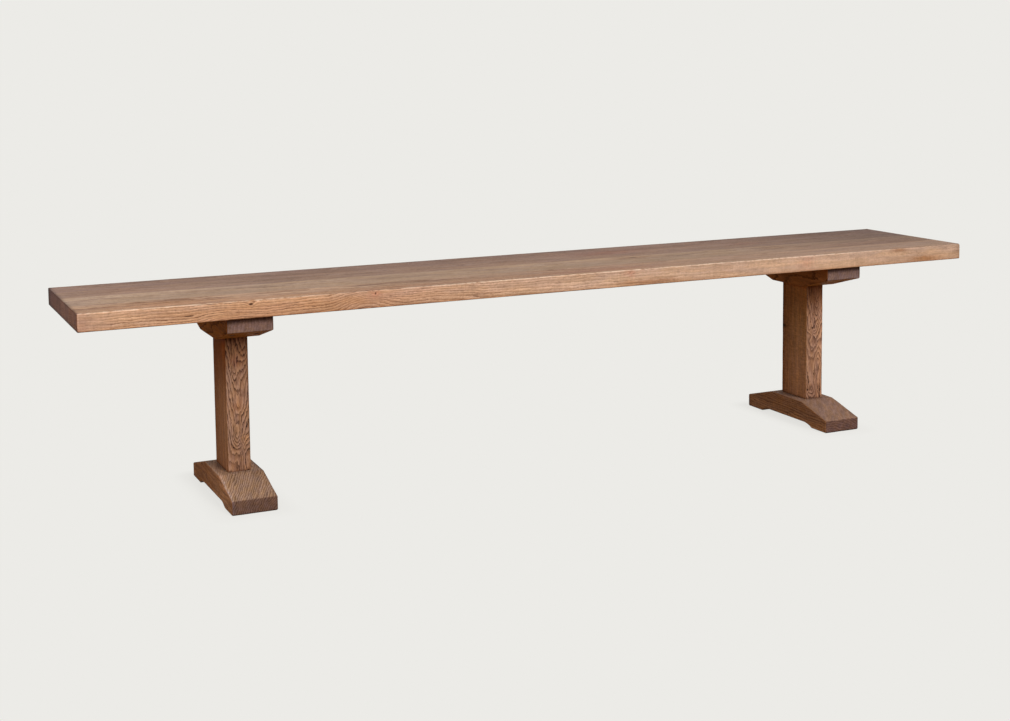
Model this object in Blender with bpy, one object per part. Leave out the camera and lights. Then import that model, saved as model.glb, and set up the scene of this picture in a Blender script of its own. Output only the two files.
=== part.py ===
"""A dining bench in oak: a seat of glued staves on two legs, each made of a foot, a post and a bearer.

The feet stand on the floor. Each post is tenoned into its foot and its bearer, the bearers carry the seat,
and screws hold the joints. Units are metres with +Z up. The origin is on the floor under the middle of the
seat, +X runs along the seat to the right and -Y is its front.
"""

import math
from dataclasses import dataclass

import bmesh
import bpy
from mathutils import Vector

# Seat
SEAT_LENGTH = 2.200
SEAT_WIDTH = 0.373
SEAT_THICKNESS = 0.038
SEAT_HEIGHT = 0.452
SEAT_EASE = 0.002
STAVE_WIDTH_SHARES = {
    "front_stave": 0.250,
    "mid_front_stave": 0.295,
    "mid_back_stave": 0.236,
    "back_stave": 0.219,
}

# Legs: how far their middles stand in from the ends of the seat
LEG_INSET = 0.350
LEG_EASE = 0.0015

# Foot: full height under the post, sloped down to its ends and relieved underneath between two pads
FOOT_LENGTH = 0.340
FOOT_WIDTH = 0.099
FOOT_HEIGHT = 0.060
FOOT_END_HEIGHT = 0.031
FOOT_PAD_LENGTH = 0.062
RELIEF_HEIGHT = 0.009
RELIEF_RADIUS = 0.065

# Bearer: the foot's form upside down, without the relief. The seat hangs over its ends.
BEARER_OVERHANG = 0.0165
BEARER_WIDTH = 0.099
BEARER_HEIGHT = 0.060
BEARER_END_HEIGHT = 0.031

# Post, with a stub tenon at each end. It stands back from where the slopes of foot and bearer start.
POST_WIDTH = 0.050
POST_DEPTH = 0.104
POST_SET_BACK = 0.013
TENON_SIDE_SHOULDER = 0.011
TENON_EDGE_SHOULDER = 0.014

# Room in the joints
JOINT_GAP = 0.0003
GLUE_ROOM = 0.002

# Screws and washers
SCREW_DIAMETER = 0.006
SCREW_TIP_DIAMETER = 0.0015
SCREW_TIP_LENGTH = 0.006
SCREW_HEAD_RIM = 0.003
SCREW_HEAD_HEIGHT = 0.004
SCREW_HEAD_EASE = 0.0008
SCREW_SOCKET_WIDTH = 0.005
SCREW_SOCKET_DEPTH = 0.0025
WASHER_RIM = 0.002
WASHER_THICKNESS = 0.0016

# Post screws: their length, how deep their heads are sunk, and the wood left between head and mortise
POST_SCREW_LENGTH = 0.080
POST_SCREW_SPACING = 0.040
POST_SCREW_SINK = 0.006
FOOT_WEB = 0.015
BEARER_WEB = 0.024

# Seat screws: their places in the bearer, the bearer's wood that they grip, and the wood over their tips
SEAT_SCREW_END_DISTANCE = 0.045
SEAT_SCREW_SIDE_DISTANCE = 0.0225
SEAT_SCREW_GRIP = 0.020
SEAT_SCREW_COVER = 0.0105
SEAT_SLOT_TRAVEL = 0.005

# Room that the drills leave round the screws, and how far the drills go past what they cut
SCREW_HOLE_ROOM = 0.0005
COUNTERBORE_ROOM = 0.001
DRILL_OVERRUN = 0.002
CUTTER_OVERRUN = 0.010

# Facets. A turned piece has an odd multiple of six sides, so that the socket's hexagon has its corners.
TURNED_SIDES = 18
RELIEF_ARC_STEPS = 8
EASE_STEPS = 2
EASE_ANGLE = math.radians(40)
SMOOTH_ANGLE = math.radians(35)
SIXTH_OF_TURN = math.radians(60)

# Lengths that follow from what they carry
LEG_SPACING = SEAT_LENGTH - 2 * LEG_INSET
BEARER_LENGTH = SEAT_WIDTH - 2 * BEARER_OVERHANG
FLAT_LENGTH = POST_DEPTH + 2 * POST_SET_BACK

# Heights, from the seat down to the floor
SEAT_UNDERSIDE = SEAT_HEIGHT - SEAT_THICKNESS
BEARER_TOP = SEAT_UNDERSIDE - JOINT_GAP
BEARER_UNDERSIDE = BEARER_TOP - BEARER_HEIGHT
POST_TOP = BEARER_UNDERSIDE - JOINT_GAP
POST_BASE = FOOT_HEIGHT + JOINT_GAP

# Diameters round the screws
SCREW_HEAD_DIAMETER = SCREW_DIAMETER + 2 * SCREW_HEAD_RIM
WASHER_DIAMETER = SCREW_HEAD_DIAMETER + 2 * WASHER_RIM
PILOT_DIAMETER = SCREW_DIAMETER + 2 * JOINT_GAP
SCREW_HOLE_DIAMETER = SCREW_DIAMETER + 2 * SCREW_HOLE_ROOM
POST_COUNTERBORE_DIAMETER = SCREW_HEAD_DIAMETER + 2 * COUNTERBORE_ROOM
SEAT_COUNTERBORE_DIAMETER = WASHER_DIAMETER + 2 * COUNTERBORE_ROOM

# Floors of the counterbores, and the undersides of the screw heads that stand on them
FOOT_SCREW_FLOOR = RELIEF_HEIGHT + POST_SCREW_SINK
BEARER_SCREW_FLOOR = BEARER_TOP - POST_SCREW_SINK
SEAT_SCREW_FLOOR = BEARER_TOP - SEAT_SCREW_GRIP
FOOT_SCREW_HEAD = FOOT_SCREW_FLOOR - JOINT_GAP
BEARER_SCREW_HEAD = BEARER_SCREW_FLOOR + JOINT_GAP
WASHER_BOTTOM = SEAT_SCREW_FLOOR - JOINT_GAP - WASHER_THICKNESS
SEAT_SCREW_HEAD = WASHER_BOTTOM - JOINT_GAP
SEAT_SCREW_LENGTH = SEAT_HEIGHT - SEAT_SCREW_COVER - SEAT_SCREW_HEAD

# Mortises stop at the wood that the post screws grip. The tenons stop short of them by the room for glue.
FOOT_MORTISE_FLOOR = FOOT_SCREW_FLOOR + FOOT_WEB
BEARER_MORTISE_ROOF = BEARER_SCREW_FLOOR - BEARER_WEB
LOWER_TENON_END = FOOT_MORTISE_FLOOR + GLUE_ROOM
UPPER_TENON_END = BEARER_MORTISE_ROOF - GLUE_ROOM
TENON_WIDTH = POST_WIDTH - 2 * TENON_SIDE_SHOULDER
TENON_DEPTH = POST_DEPTH - 2 * TENON_EDGE_SHOULDER
MORTISE_WIDTH = TENON_WIDTH + 2 * JOINT_GAP
MORTISE_DEPTH = TENON_DEPTH + 2 * JOINT_GAP

# Places of the screws round the middle of a leg, as (x, y)
SEAT_SCREW_X = BEARER_WIDTH / 2 - SEAT_SCREW_SIDE_DISTANCE
SEAT_SCREW_Y = BEARER_LENGTH / 2 - SEAT_SCREW_END_DISTANCE
FRONT_SCREW_PLACES = {
    "front_left": (-SEAT_SCREW_X, -SEAT_SCREW_Y),
    "front_right": (SEAT_SCREW_X, -SEAT_SCREW_Y),
}
BACK_SCREW_PLACES = {
    "back_left": (-SEAT_SCREW_X, SEAT_SCREW_Y),
    "back_right": (SEAT_SCREW_X, SEAT_SCREW_Y),
}
SEAT_SCREW_PLACES = FRONT_SCREW_PLACES | BACK_SCREW_PLACES
POST_SCREW_PLACES = {
    "front": (0, -POST_SCREW_SPACING / 2),
    "back": (0, POST_SCREW_SPACING / 2),
}


@dataclass(frozen=True)
class Finish:
    """What a piece is made of: its colour, its roughness and whether it is metal."""

    name: str
    colour: tuple
    roughness: float
    metallic: float = 0.0


STAVE_FINISHES = {
    "front_stave": Finish("front_stave_oak", (0.37, 0.235, 0.155, 1.0), 0.60),
    "mid_front_stave": Finish("mid_front_stave_oak", (0.37, 0.250, 0.178, 1.0), 0.62),
    "mid_back_stave": Finish("mid_back_stave_oak", (0.29, 0.186, 0.138, 1.0), 0.62),
    "back_stave": Finish("back_stave_oak", (0.28, 0.176, 0.135, 1.0), 0.62),
}
FOOT_FINISH = Finish("foot_oak", (0.25, 0.150, 0.092, 1.0), 0.60)
POST_FINISH = Finish("post_oak", (0.27, 0.155, 0.088, 1.0), 0.58)
BEARER_FINISH = Finish("bearer_oak", (0.21, 0.130, 0.092, 1.0), 0.62)
SEAT_SCREW_FINISH = Finish("seat_screw_steel", (0.50, 0.49, 0.46, 1.0), 0.35, 1.0)
POST_SCREW_FINISH = Finish("post_screw_steel", (0.46, 0.45, 0.43, 1.0), 0.38, 1.0)
WASHER_FINISH = Finish("washer_steel", (0.58, 0.57, 0.55, 1.0), 0.40, 1.0)


@dataclass(frozen=True)
class Ring:
    """One level of a turned solid: a circle, a circle drawn out along Y into a slot, or a hexagon."""

    diameter: float
    z: float
    travel: float = 0
    hexagonal: bool = False

    def points(self):
        """The ring's corners in order. A hexagon's diameter is across its flats, two of which face X."""
        corners = []
        for step in range(TURNED_SIDES):
            angle = 2 * math.pi * (step + 0.5) / TURNED_SIDES
            radius = self.diameter / 2
            if self.hexagonal:
                from_flat = (angle + SIXTH_OF_TURN / 2) % SIXTH_OF_TURN - SIXTH_OF_TURN / 2
                radius /= math.cos(from_flat)
            shift = math.copysign(self.travel / 2, math.sin(angle))
            corners.append(Vector((radius * math.cos(angle), radius * math.sin(angle) + shift, self.z)))
        return corners


def clear_scene():
    """Remove whatever the scene holds."""
    for obj in list(bpy.data.objects):
        bpy.data.objects.remove(obj, do_unlink=True)


def add_loft(bm, outlines, ends_meet=False):
    """Skin outlines of equal length in order, capped at both ends unless the last meets the first."""
    loops = [[bm.verts.new(point) for point in outline] for outline in outlines]
    pairs = list(zip(loops, loops[1:]))
    if ends_meet:
        pairs.append((loops[-1], loops[0]))
    else:
        bm.faces.new(loops[0])
        bm.faces.new(loops[-1])
    for lower, upper in pairs:
        for corner, low in enumerate(lower):
            bm.faces.new((lower[corner - 1], low, upper[corner], upper[corner - 1]))
    bmesh.ops.recalc_face_normals(bm, faces=bm.faces)
    return loops


def rectangle(width, depth, z):
    """The corners of a rectangle round the Z axis, at one height."""
    return [Vector((x * width / 2, y * depth / 2, z)) for x, y in ((-1, -1), (1, -1), (1, 1), (-1, 1))]


def add_bores(bm, rings, places):
    """Add the solid that one drill cuts away, once at each place."""
    for x, y in places.values():
        add_loft(bm, [[point + Vector((x, y, 0)) for point in ring.points()] for ring in rings])


def ease(bm, edges, width):
    """Round edges over."""
    bmesh.ops.bevel(bm, geom=edges, offset=width, segments=EASE_STEPS, profile=0.5, affect="EDGES")


def finished_mesh(name, bm, finish):
    """Write a bmesh to a new mesh with a material of its own."""
    mesh = bpy.data.meshes.new(name)
    bm.to_mesh(mesh)
    bm.free()
    material = bpy.data.materials.new(finish.name)
    material.use_nodes = True
    shader = material.node_tree.nodes["Principled BSDF"]
    shader.inputs["Base Color"].default_value = finish.colour
    shader.inputs["Roughness"].default_value = finish.roughness
    shader.inputs["Metallic"].default_value = finish.metallic
    mesh.materials.append(material)
    return mesh


def turned_mesh(name, rings, finish, ends_meet=False):
    """A turned piece about the Z axis, shaded smooth round its sides."""
    bm = bmesh.new()
    add_loft(bm, [ring.points() for ring in rings], ends_meet)
    mesh = finished_mesh(name, bm, finish)
    mesh.shade_smooth()
    mesh.set_sharp_from_angle(angle=SMOOTH_ANGLE)
    return mesh


def place(name, mesh, parent=None, location=(0, 0, 0), upside_down=False):
    """Put a mesh in the scene as a named piece."""
    piece = bpy.data.objects.new(name, mesh)
    bpy.context.scene.collection.objects.link(piece)
    piece.parent = parent
    piece.location = location
    if upside_down:
        piece.rotation_euler.x = math.pi
    return piece


def place_cutter(name, bm, parent):
    """Put a bmesh in the scene as a tool that cuts pieces and isn't one itself."""
    mesh = bpy.data.meshes.new(name)
    bm.to_mesh(mesh)
    bm.free()
    cutter = place(name, mesh, parent)
    cutter.hide_render = True
    cutter.display_type = "WIRE"
    return cutter


def cut(piece, *cutters):
    """Take each cutter's volume out of a piece."""
    for cutter in cutters:
        boolean = piece.modifiers.new(cutter.name, "BOOLEAN")
        boolean.operation = "DIFFERENCE"
        boolean.solver = "EXACT"
        boolean.object = cutter


def stave_sides():
    """Each stave's name with the Y of its front and back, a glue line apart from the next."""
    wood_width = SEAT_WIDTH - JOINT_GAP * (len(STAVE_WIDTH_SHARES) - 1)
    all_shares = sum(STAVE_WIDTH_SHARES.values())
    front = -SEAT_WIDTH / 2
    for name, share in STAVE_WIDTH_SHARES.items():
        back = front + wood_width * share / all_shares
        yield name, front, back
        front = back + JOINT_GAP


def is_glued(face):
    """Whether a face of a stave is one that the next stave is glued to."""
    faces_along_y = abs(face.normal.y) > abs(face.normal.x) + abs(face.normal.z)
    return faces_along_y and abs(face.calc_center_median().y) < (SEAT_WIDTH - JOINT_GAP) / 2


def stave_mesh(name, front, back):
    """A board of the seat: eased all round except along its glued sides."""
    bm = bmesh.new()
    middle = Vector((0, (front + back) / 2, 0))
    levels = (SEAT_UNDERSIDE, SEAT_HEIGHT)
    add_loft(bm, [[corner + middle for corner in rectangle(SEAT_LENGTH, back - front, z)] for z in levels])
    glued_edges = {edge for face in bm.faces if is_glued(face) for edge in face.edges}
    ease(bm, [edge for edge in bm.edges if edge not in glued_edges], SEAT_EASE)
    return finished_mesh(name, bm, STAVE_FINISHES[name])


def relief_half():
    """The relief from the front pad's edge, up its arc and onto its flat, as (y, z)."""
    sweep = math.acos((RELIEF_RADIUS - RELIEF_HEIGHT) / RELIEF_RADIUS)
    pad_edge = -FOOT_LENGTH / 2 + FOOT_PAD_LENGTH
    centre_y = pad_edge + RELIEF_RADIUS * math.sin(sweep)
    centre_z = RELIEF_HEIGHT - RELIEF_RADIUS
    angles = [sweep * (1 - step / RELIEF_ARC_STEPS) for step in range(RELIEF_ARC_STEPS + 1)]
    return [
        (centre_y - RELIEF_RADIUS * math.sin(angle), centre_z + RELIEF_RADIUS * math.cos(angle))
        for angle in angles
    ]


def mirrored(front_half):
    """A whole outline from its front half, whose two ends face each other across the middle."""
    return front_half + [(-y, z) for y, z in reversed(front_half)]


def foot_outline():
    """The foot seen from its side, as (y, z)."""
    return mirrored(
        [
            (-FLAT_LENGTH / 2, FOOT_HEIGHT),
            (-FOOT_LENGTH / 2, FOOT_END_HEIGHT),
            (-FOOT_LENGTH / 2, 0),
            *relief_half(),
        ]
    )


def bearer_outline():
    """The bearer seen from its side, as (y, z)."""
    return mirrored(
        [
            (-BEARER_LENGTH / 2, BEARER_TOP),
            (-BEARER_LENGTH / 2, BEARER_TOP - BEARER_END_HEIGHT),
            (-FLAT_LENGTH / 2, BEARER_UNDERSIDE),
        ]
    )


def rail_mesh(name, outline, width, finish):
    """A foot or a bearer: its outline sawn through a plank of this width, with the corners eased."""
    bm = bmesh.new()
    add_loft(bm, [[Vector((side * width / 2, y, z)) for y, z in outline] for side in (-1, 1)])
    corners = [edge for edge in bm.edges if edge.is_convex and edge.calc_face_angle() > EASE_ANGLE]
    ease(bm, corners, LEG_EASE)
    return finished_mesh(name, bm, finish)


def post_mesh():
    """The post, stepped in at both ends to its tenons. Only its upright corners are eased."""
    bm = bmesh.new()
    loops = add_loft(
        bm,
        [
            rectangle(TENON_WIDTH, TENON_DEPTH, LOWER_TENON_END),
            rectangle(TENON_WIDTH, TENON_DEPTH, POST_BASE),
            rectangle(POST_WIDTH, POST_DEPTH, POST_BASE),
            rectangle(POST_WIDTH, POST_DEPTH, POST_TOP),
            rectangle(TENON_WIDTH, TENON_DEPTH, POST_TOP),
            rectangle(TENON_WIDTH, TENON_DEPTH, UPPER_TENON_END),
        ],
    )
    shoulders_below, shoulders_above = loops[2], loops[3]
    ease(bm, [bm.edges.get(ends) for ends in zip(shoulders_below, shoulders_above)], LEG_EASE)
    return finished_mesh("post", bm, POST_FINISH)


def screw_mesh(name, length, finish):
    """A screw pointing up from the underside of its head at Z zero, with a hexagonal socket in the head."""
    head_top = -SCREW_HEAD_HEIGHT
    rings = [
        Ring(SCREW_TIP_DIAMETER, length),
        Ring(SCREW_DIAMETER, length - SCREW_TIP_LENGTH),
        Ring(SCREW_DIAMETER, 0),
        Ring(SCREW_HEAD_DIAMETER, 0),
        Ring(SCREW_HEAD_DIAMETER, head_top + SCREW_HEAD_EASE),
        Ring(SCREW_HEAD_DIAMETER - 2 * SCREW_HEAD_EASE, head_top),
        Ring(SCREW_SOCKET_WIDTH, head_top, hexagonal=True),
        Ring(SCREW_SOCKET_WIDTH, head_top + SCREW_SOCKET_DEPTH, hexagonal=True),
    ]
    return turned_mesh(name, rings, finish)


def washer_mesh():
    """A washer standing on Z zero: round its outer side and back through its hole."""
    rings = [
        Ring(WASHER_DIAMETER, 0),
        Ring(WASHER_DIAMETER, WASHER_THICKNESS),
        Ring(PILOT_DIAMETER, WASHER_THICKNESS),
        Ring(PILOT_DIAMETER, 0),
    ]
    return turned_mesh("washer", rings, WASHER_FINISH, ends_meet=True)


def counterbore_rings(diameter, outside, floor, far_end, travel=0):
    """A counterbore from outside the wood to its floor, then the screw's hole on to the far end."""
    return [
        Ring(diameter, outside, travel),
        Ring(diameter, floor, travel),
        Ring(SCREW_HOLE_DIAMETER, floor, travel),
        Ring(SCREW_HOLE_DIAMETER, far_end, travel),
    ]


def pilot_rings(outside, screw_tip, direction):
    """A pilot hole from outside the wood to just past its screw's tip. direction is 1 up or -1 down."""
    return [Ring(PILOT_DIAMETER, outside), Ring(PILOT_DIAMETER, screw_tip + direction * DRILL_OVERRUN)]


def mortise_cutter(side, rail, leg, low, high):
    """What is chopped out of a foot or a bearer for the post's tenon."""
    bm = bmesh.new()
    add_loft(bm, [rectangle(MORTISE_WIDTH, MORTISE_DEPTH, z) for z in (low, high)])
    return place_cutter(f"{side}_{rail}_mortise", bm, leg)


def foot_cutters(side, leg):
    """The mortise for the post, and the bores for the screws that come up through the foot."""
    below, in_mortise = -CUTTER_OVERRUN, FOOT_MORTISE_FLOOR + DRILL_OVERRUN
    bm = bmesh.new()
    rings = counterbore_rings(POST_COUNTERBORE_DIAMETER, below, FOOT_SCREW_FLOOR, in_mortise)
    add_bores(bm, rings, POST_SCREW_PLACES)
    bores = place_cutter(f"{side}_foot_bores", bm, leg)
    return mortise_cutter(side, "foot", leg, FOOT_MORTISE_FLOOR, FOOT_HEIGHT + CUTTER_OVERRUN), bores


def bearer_cutters(side, leg):
    """The mortise for the post, the bores down to it, and the bores up to the seat.

    The two at the back are slots, so that the seat can swell and shrink across its grain.
    """
    below, above = BEARER_UNDERSIDE - CUTTER_OVERRUN, BEARER_TOP + CUTTER_OVERRUN
    in_mortise = BEARER_MORTISE_ROOF - DRILL_OVERRUN
    bm = bmesh.new()
    rings = counterbore_rings(POST_COUNTERBORE_DIAMETER, above, BEARER_SCREW_FLOOR, in_mortise)
    add_bores(bm, rings, POST_SCREW_PLACES)
    for places, travel in ((FRONT_SCREW_PLACES, 0), (BACK_SCREW_PLACES, SEAT_SLOT_TRAVEL)):
        rings = counterbore_rings(SEAT_COUNTERBORE_DIAMETER, below, SEAT_SCREW_FLOOR, above, travel)
        add_bores(bm, rings, places)
    bores = place_cutter(f"{side}_bearer_bores", bm, leg)
    return mortise_cutter(side, "bearer", leg, below, BEARER_MORTISE_ROOF), bores


def post_drill(side, leg):
    """The pilot holes in both ends of the post."""
    foot_tip = FOOT_SCREW_HEAD + POST_SCREW_LENGTH
    bearer_tip = BEARER_SCREW_HEAD - POST_SCREW_LENGTH
    bm = bmesh.new()
    add_bores(bm, pilot_rings(LOWER_TENON_END - CUTTER_OVERRUN, foot_tip, 1), POST_SCREW_PLACES)
    add_bores(bm, pilot_rings(UPPER_TENON_END + CUTTER_OVERRUN, bearer_tip, -1), POST_SCREW_PLACES)
    return place_cutter(f"{side}_post_drill", bm, leg)


def seat_drill(side, leg):
    """The pilot holes in the seat over one leg."""
    screw_tip = SEAT_SCREW_HEAD + SEAT_SCREW_LENGTH
    bm = bmesh.new()
    add_bores(bm, pilot_rings(SEAT_UNDERSIDE - CUTTER_OVERRUN, screw_tip, 1), SEAT_SCREW_PLACES)
    return place_cutter(f"{side}_seat_drill", bm, leg)


def leg_meshes():
    """The meshes that the two legs share."""
    return {
        "foot": rail_mesh("foot", foot_outline(), FOOT_WIDTH, FOOT_FINISH),
        "post": post_mesh(),
        "bearer": rail_mesh("bearer", bearer_outline(), BEARER_WIDTH, BEARER_FINISH),
        "post_screw": screw_mesh("post_screw", POST_SCREW_LENGTH, POST_SCREW_FINISH),
        "seat_screw": screw_mesh("seat_screw", SEAT_SCREW_LENGTH, SEAT_SCREW_FINISH),
        "washer": washer_mesh(),
    }


def add_leg(side, leg, meshes):
    """Stand one leg under the seat, round its own empty, and screw it together."""
    cut(place(f"{side}_foot", meshes["foot"], leg), *foot_cutters(side, leg))
    cut(place(f"{side}_post", meshes["post"], leg), post_drill(side, leg))
    cut(place(f"{side}_bearer", meshes["bearer"], leg), *bearer_cutters(side, leg))
    for where, (x, y) in POST_SCREW_PLACES.items():
        place(f"{side}_foot_screw_{where}", meshes["post_screw"], leg, (x, y, FOOT_SCREW_HEAD))
        head = (x, y, BEARER_SCREW_HEAD)
        place(f"{side}_bearer_screw_{where}", meshes["post_screw"], leg, head, upside_down=True)
    for where, (x, y) in SEAT_SCREW_PLACES.items():
        place(f"{side}_seat_washer_{where}", meshes["washer"], leg, (x, y, WASHER_BOTTOM))
        place(f"{side}_seat_screw_{where}", meshes["seat_screw"], leg, (x, y, SEAT_SCREW_HEAD))


def add_seat(legs):
    """Lay the staves side by side, drilled from below for the screws of each leg."""
    drills = [seat_drill(side, leg) for side, leg in legs.items()]
    for name, front, back in stave_sides():
        cut(place(name, stave_mesh(name, front, back)), *drills)


def build():
    """Build the bench: two legs, each round an empty of its own, and the seat over them."""
    clear_scene()
    legs = {
        "left": place("left_leg", None, location=(-LEG_SPACING / 2, 0, 0)),
        "right": place("right_leg", None, location=(LEG_SPACING / 2, 0, 0)),
    }
    meshes = leg_meshes()
    for side, leg in legs.items():
        add_leg(side, leg, meshes)
    add_seat(legs)


build()
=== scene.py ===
"""The looks of an oak dining bench: finely shaped pieces with oak and steel finishes, in a pale studio.

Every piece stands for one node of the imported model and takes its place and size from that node's box. Units
are metres with +Z up, -Y is the front of the bench, and finishes place their knots and patches in the same
frame.
"""

import logging
import math
from collections.abc import Callable, Mapping, Sequence
from dataclasses import dataclass, field, replace
from enum import Enum

import bmesh
import bpy
from mathutils import Matrix, Vector, noise


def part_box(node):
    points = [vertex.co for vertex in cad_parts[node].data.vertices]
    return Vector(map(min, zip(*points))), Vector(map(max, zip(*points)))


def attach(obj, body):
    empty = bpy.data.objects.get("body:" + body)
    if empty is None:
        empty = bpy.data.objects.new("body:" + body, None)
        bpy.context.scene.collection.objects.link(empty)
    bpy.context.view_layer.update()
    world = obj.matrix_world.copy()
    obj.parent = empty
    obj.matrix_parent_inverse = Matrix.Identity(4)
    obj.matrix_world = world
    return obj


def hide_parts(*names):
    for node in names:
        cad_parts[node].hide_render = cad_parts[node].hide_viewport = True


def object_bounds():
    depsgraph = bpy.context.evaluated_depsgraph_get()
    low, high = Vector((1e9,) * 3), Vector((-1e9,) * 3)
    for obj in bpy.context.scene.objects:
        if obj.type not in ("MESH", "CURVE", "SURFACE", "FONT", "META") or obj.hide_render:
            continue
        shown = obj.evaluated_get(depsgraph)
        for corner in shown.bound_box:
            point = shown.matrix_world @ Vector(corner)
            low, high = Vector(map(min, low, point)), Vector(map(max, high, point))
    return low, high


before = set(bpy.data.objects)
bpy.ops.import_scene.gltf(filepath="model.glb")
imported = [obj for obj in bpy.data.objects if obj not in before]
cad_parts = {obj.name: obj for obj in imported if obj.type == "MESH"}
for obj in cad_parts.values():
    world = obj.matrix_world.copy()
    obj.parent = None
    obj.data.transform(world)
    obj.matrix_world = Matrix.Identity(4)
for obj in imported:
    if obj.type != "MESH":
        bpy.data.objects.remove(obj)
CAD_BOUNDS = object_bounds()

LOG = logging.getLogger("bench")
BODY = "root"

# Room in the joints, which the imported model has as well
JOINT_GAP = 0.0003
GLUE_ROOM = 0.002
HOLE_ROOM = 0.0005
BORE_ROOM = 0.001
PILOT_PAST_TIP = 0.002
OVERRUN = 0.01
SHANK_RADIUS = 0.003
HEAD_HEIGHT = 0.004
BORE_SIDES = 48
PILOT_SIDES = 24

Colour = tuple[float, float, float]
Place = tuple[float, float, float]
ALONG_X: tuple[Place, Place] = ((-1, 0, 0), (1, 0, 0))
ALONG_Y: tuple[Place, Place] = ((0, -1, 0), (0, 1, 0))
DOWN: Place = (0, 0, -1)
UP: Place = (0, 0, 1)


class Grain(Enum):
    """The axis that a piece's grain runs along."""

    ALONG_X = 0
    ALONG_Y = 1
    ALONG_Z = 2


class Side(Enum):
    """A leg of the bench, by the side that it stands on as seen from the front."""

    LEFT = "left"
    RIGHT = "right"


def srgb(*values: float) -> Colour:
    """A colour in linear light from the usual screen values of 0 to 255."""
    shares = [value / 255 for value in values]
    return tuple(
        share / 12.92 if share <= 0.04045 else ((share + 0.055) / 1.055) ** 2.4 for share in shares
    )


@dataclass(frozen=True)
class Box:
    """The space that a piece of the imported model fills."""

    low: Vector
    high: Vector

    @classmethod
    def of(cls, node: str) -> "Box":
        """The box of a node."""
        return cls(*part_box(node))

    @property
    def size(self) -> Vector:
        """Its lengths along the axes."""
        return self.high - self.low

    @property
    def middle(self) -> Vector:
        """Its middle."""
        return (self.low + self.high) / 2


class Field:
    """A number, vector or colour that varies over a surface: one output of a node.

    Python's operators add Math nodes to a number.
    """

    def __init__(self, graph: "Graph", socket: bpy.types.NodeSocket) -> None:
        """Hold an output.

        Args:
            graph: The graph that its node is in.
            socket: The output.
        """
        self.graph = graph
        self.socket = socket

    def math(self, operation: str, *values: "Value") -> "Field":
        """What a Math node makes of some numbers, in the order of its sockets."""
        return self.graph.field("ShaderNodeMath", {"operation": operation}, dict(enumerate(values)))

    def __add__(self, other: "Value") -> "Field":
        """This plus the other."""
        return self.math("ADD", self, other)

    __radd__ = __add__

    def __sub__(self, other: "Value") -> "Field":
        """This less the other."""
        return self.math("SUBTRACT", self, other)

    def __rsub__(self, other: float) -> "Field":
        """The other less this."""
        return self.math("SUBTRACT", other, self)

    def __mul__(self, other: "Value") -> "Field":
        """This times the other."""
        return self.math("MULTIPLY", self, other)

    __rmul__ = __mul__

    def __truediv__(self, other: "Value") -> "Field":
        """This over the other."""
        return self.math("DIVIDE", self, other)

    def __abs__(self) -> "Field":
        """This without its sign."""
        return self.math("ABSOLUTE", self)

    def bell(self) -> "Field":
        """One where this, a squared distance, is zero, falling off as a bell as it grows."""
        return self.math("EXPONENT", self * -1)

    def root(self) -> "Field":
        """The square root."""
        return self.math("SQRT", self)

    def fraction(self) -> "Field":
        """What is left over the whole number below."""
        return self.math("FRACT", self)

    def floor(self) -> "Field":
        """The whole number below."""
        return self.math("FLOOR", self)

    def least(self, other: "Value") -> "Field":
        """The smaller of this and the other."""
        return self.math("MINIMUM", self, other)

    def most(self, other: "Value") -> "Field":
        """The larger of this and the other."""
        return self.math("MAXIMUM", self, other)

    def rise(self, low: "Value", high: "Value") -> "Field":
        """A smooth step over this number, zero up to the low value and one from the high value."""
        values = {0: self, 1: low, 2: high}
        return self.graph.field("ShaderNodeMapRange", {"interpolation_type": "SMOOTHSTEP"}, values)

    def vector(self, operation: str, *values: "Source") -> "Field":
        """What a Vector Math node makes of this vector and others, in the order of its sockets."""
        operands = dict(enumerate((self, *values)))
        return self.graph.field("ShaderNodeVectorMath", {"operation": operation}, operands)

    def scaled(self, factor: "Field") -> "Field":
        """This colour made lighter or darker by a factor."""
        values = {0: self, "Scale": factor}
        return self.graph.field("ShaderNodeVectorMath", {"operation": "SCALE"}, values)

    def dot(self, other: "Source") -> "Field":
        """The dot product of this vector and the other."""
        values = {0: self, 1: other}
        return self.graph.field("ShaderNodeVectorMath", {"operation": "DOT_PRODUCT"}, values, "Value")

    def parts(self) -> list["Field"]:
        """The three parts of this vector."""
        node = self.graph.node("ShaderNodeSeparateXYZ", {}, {0: self})
        return [Field(self.graph, part) for part in node.outputs]

    def toned(self, share: "Value", tone: "Source") -> "Field":
        """This colour, multiplied by a tone over a share of it."""
        return self.graph.mix(share, self, self.graph.mix(1.0, self, tone, "MULTIPLY"))


Value = Field | float
Source = Field | float | Sequence[float]


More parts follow.
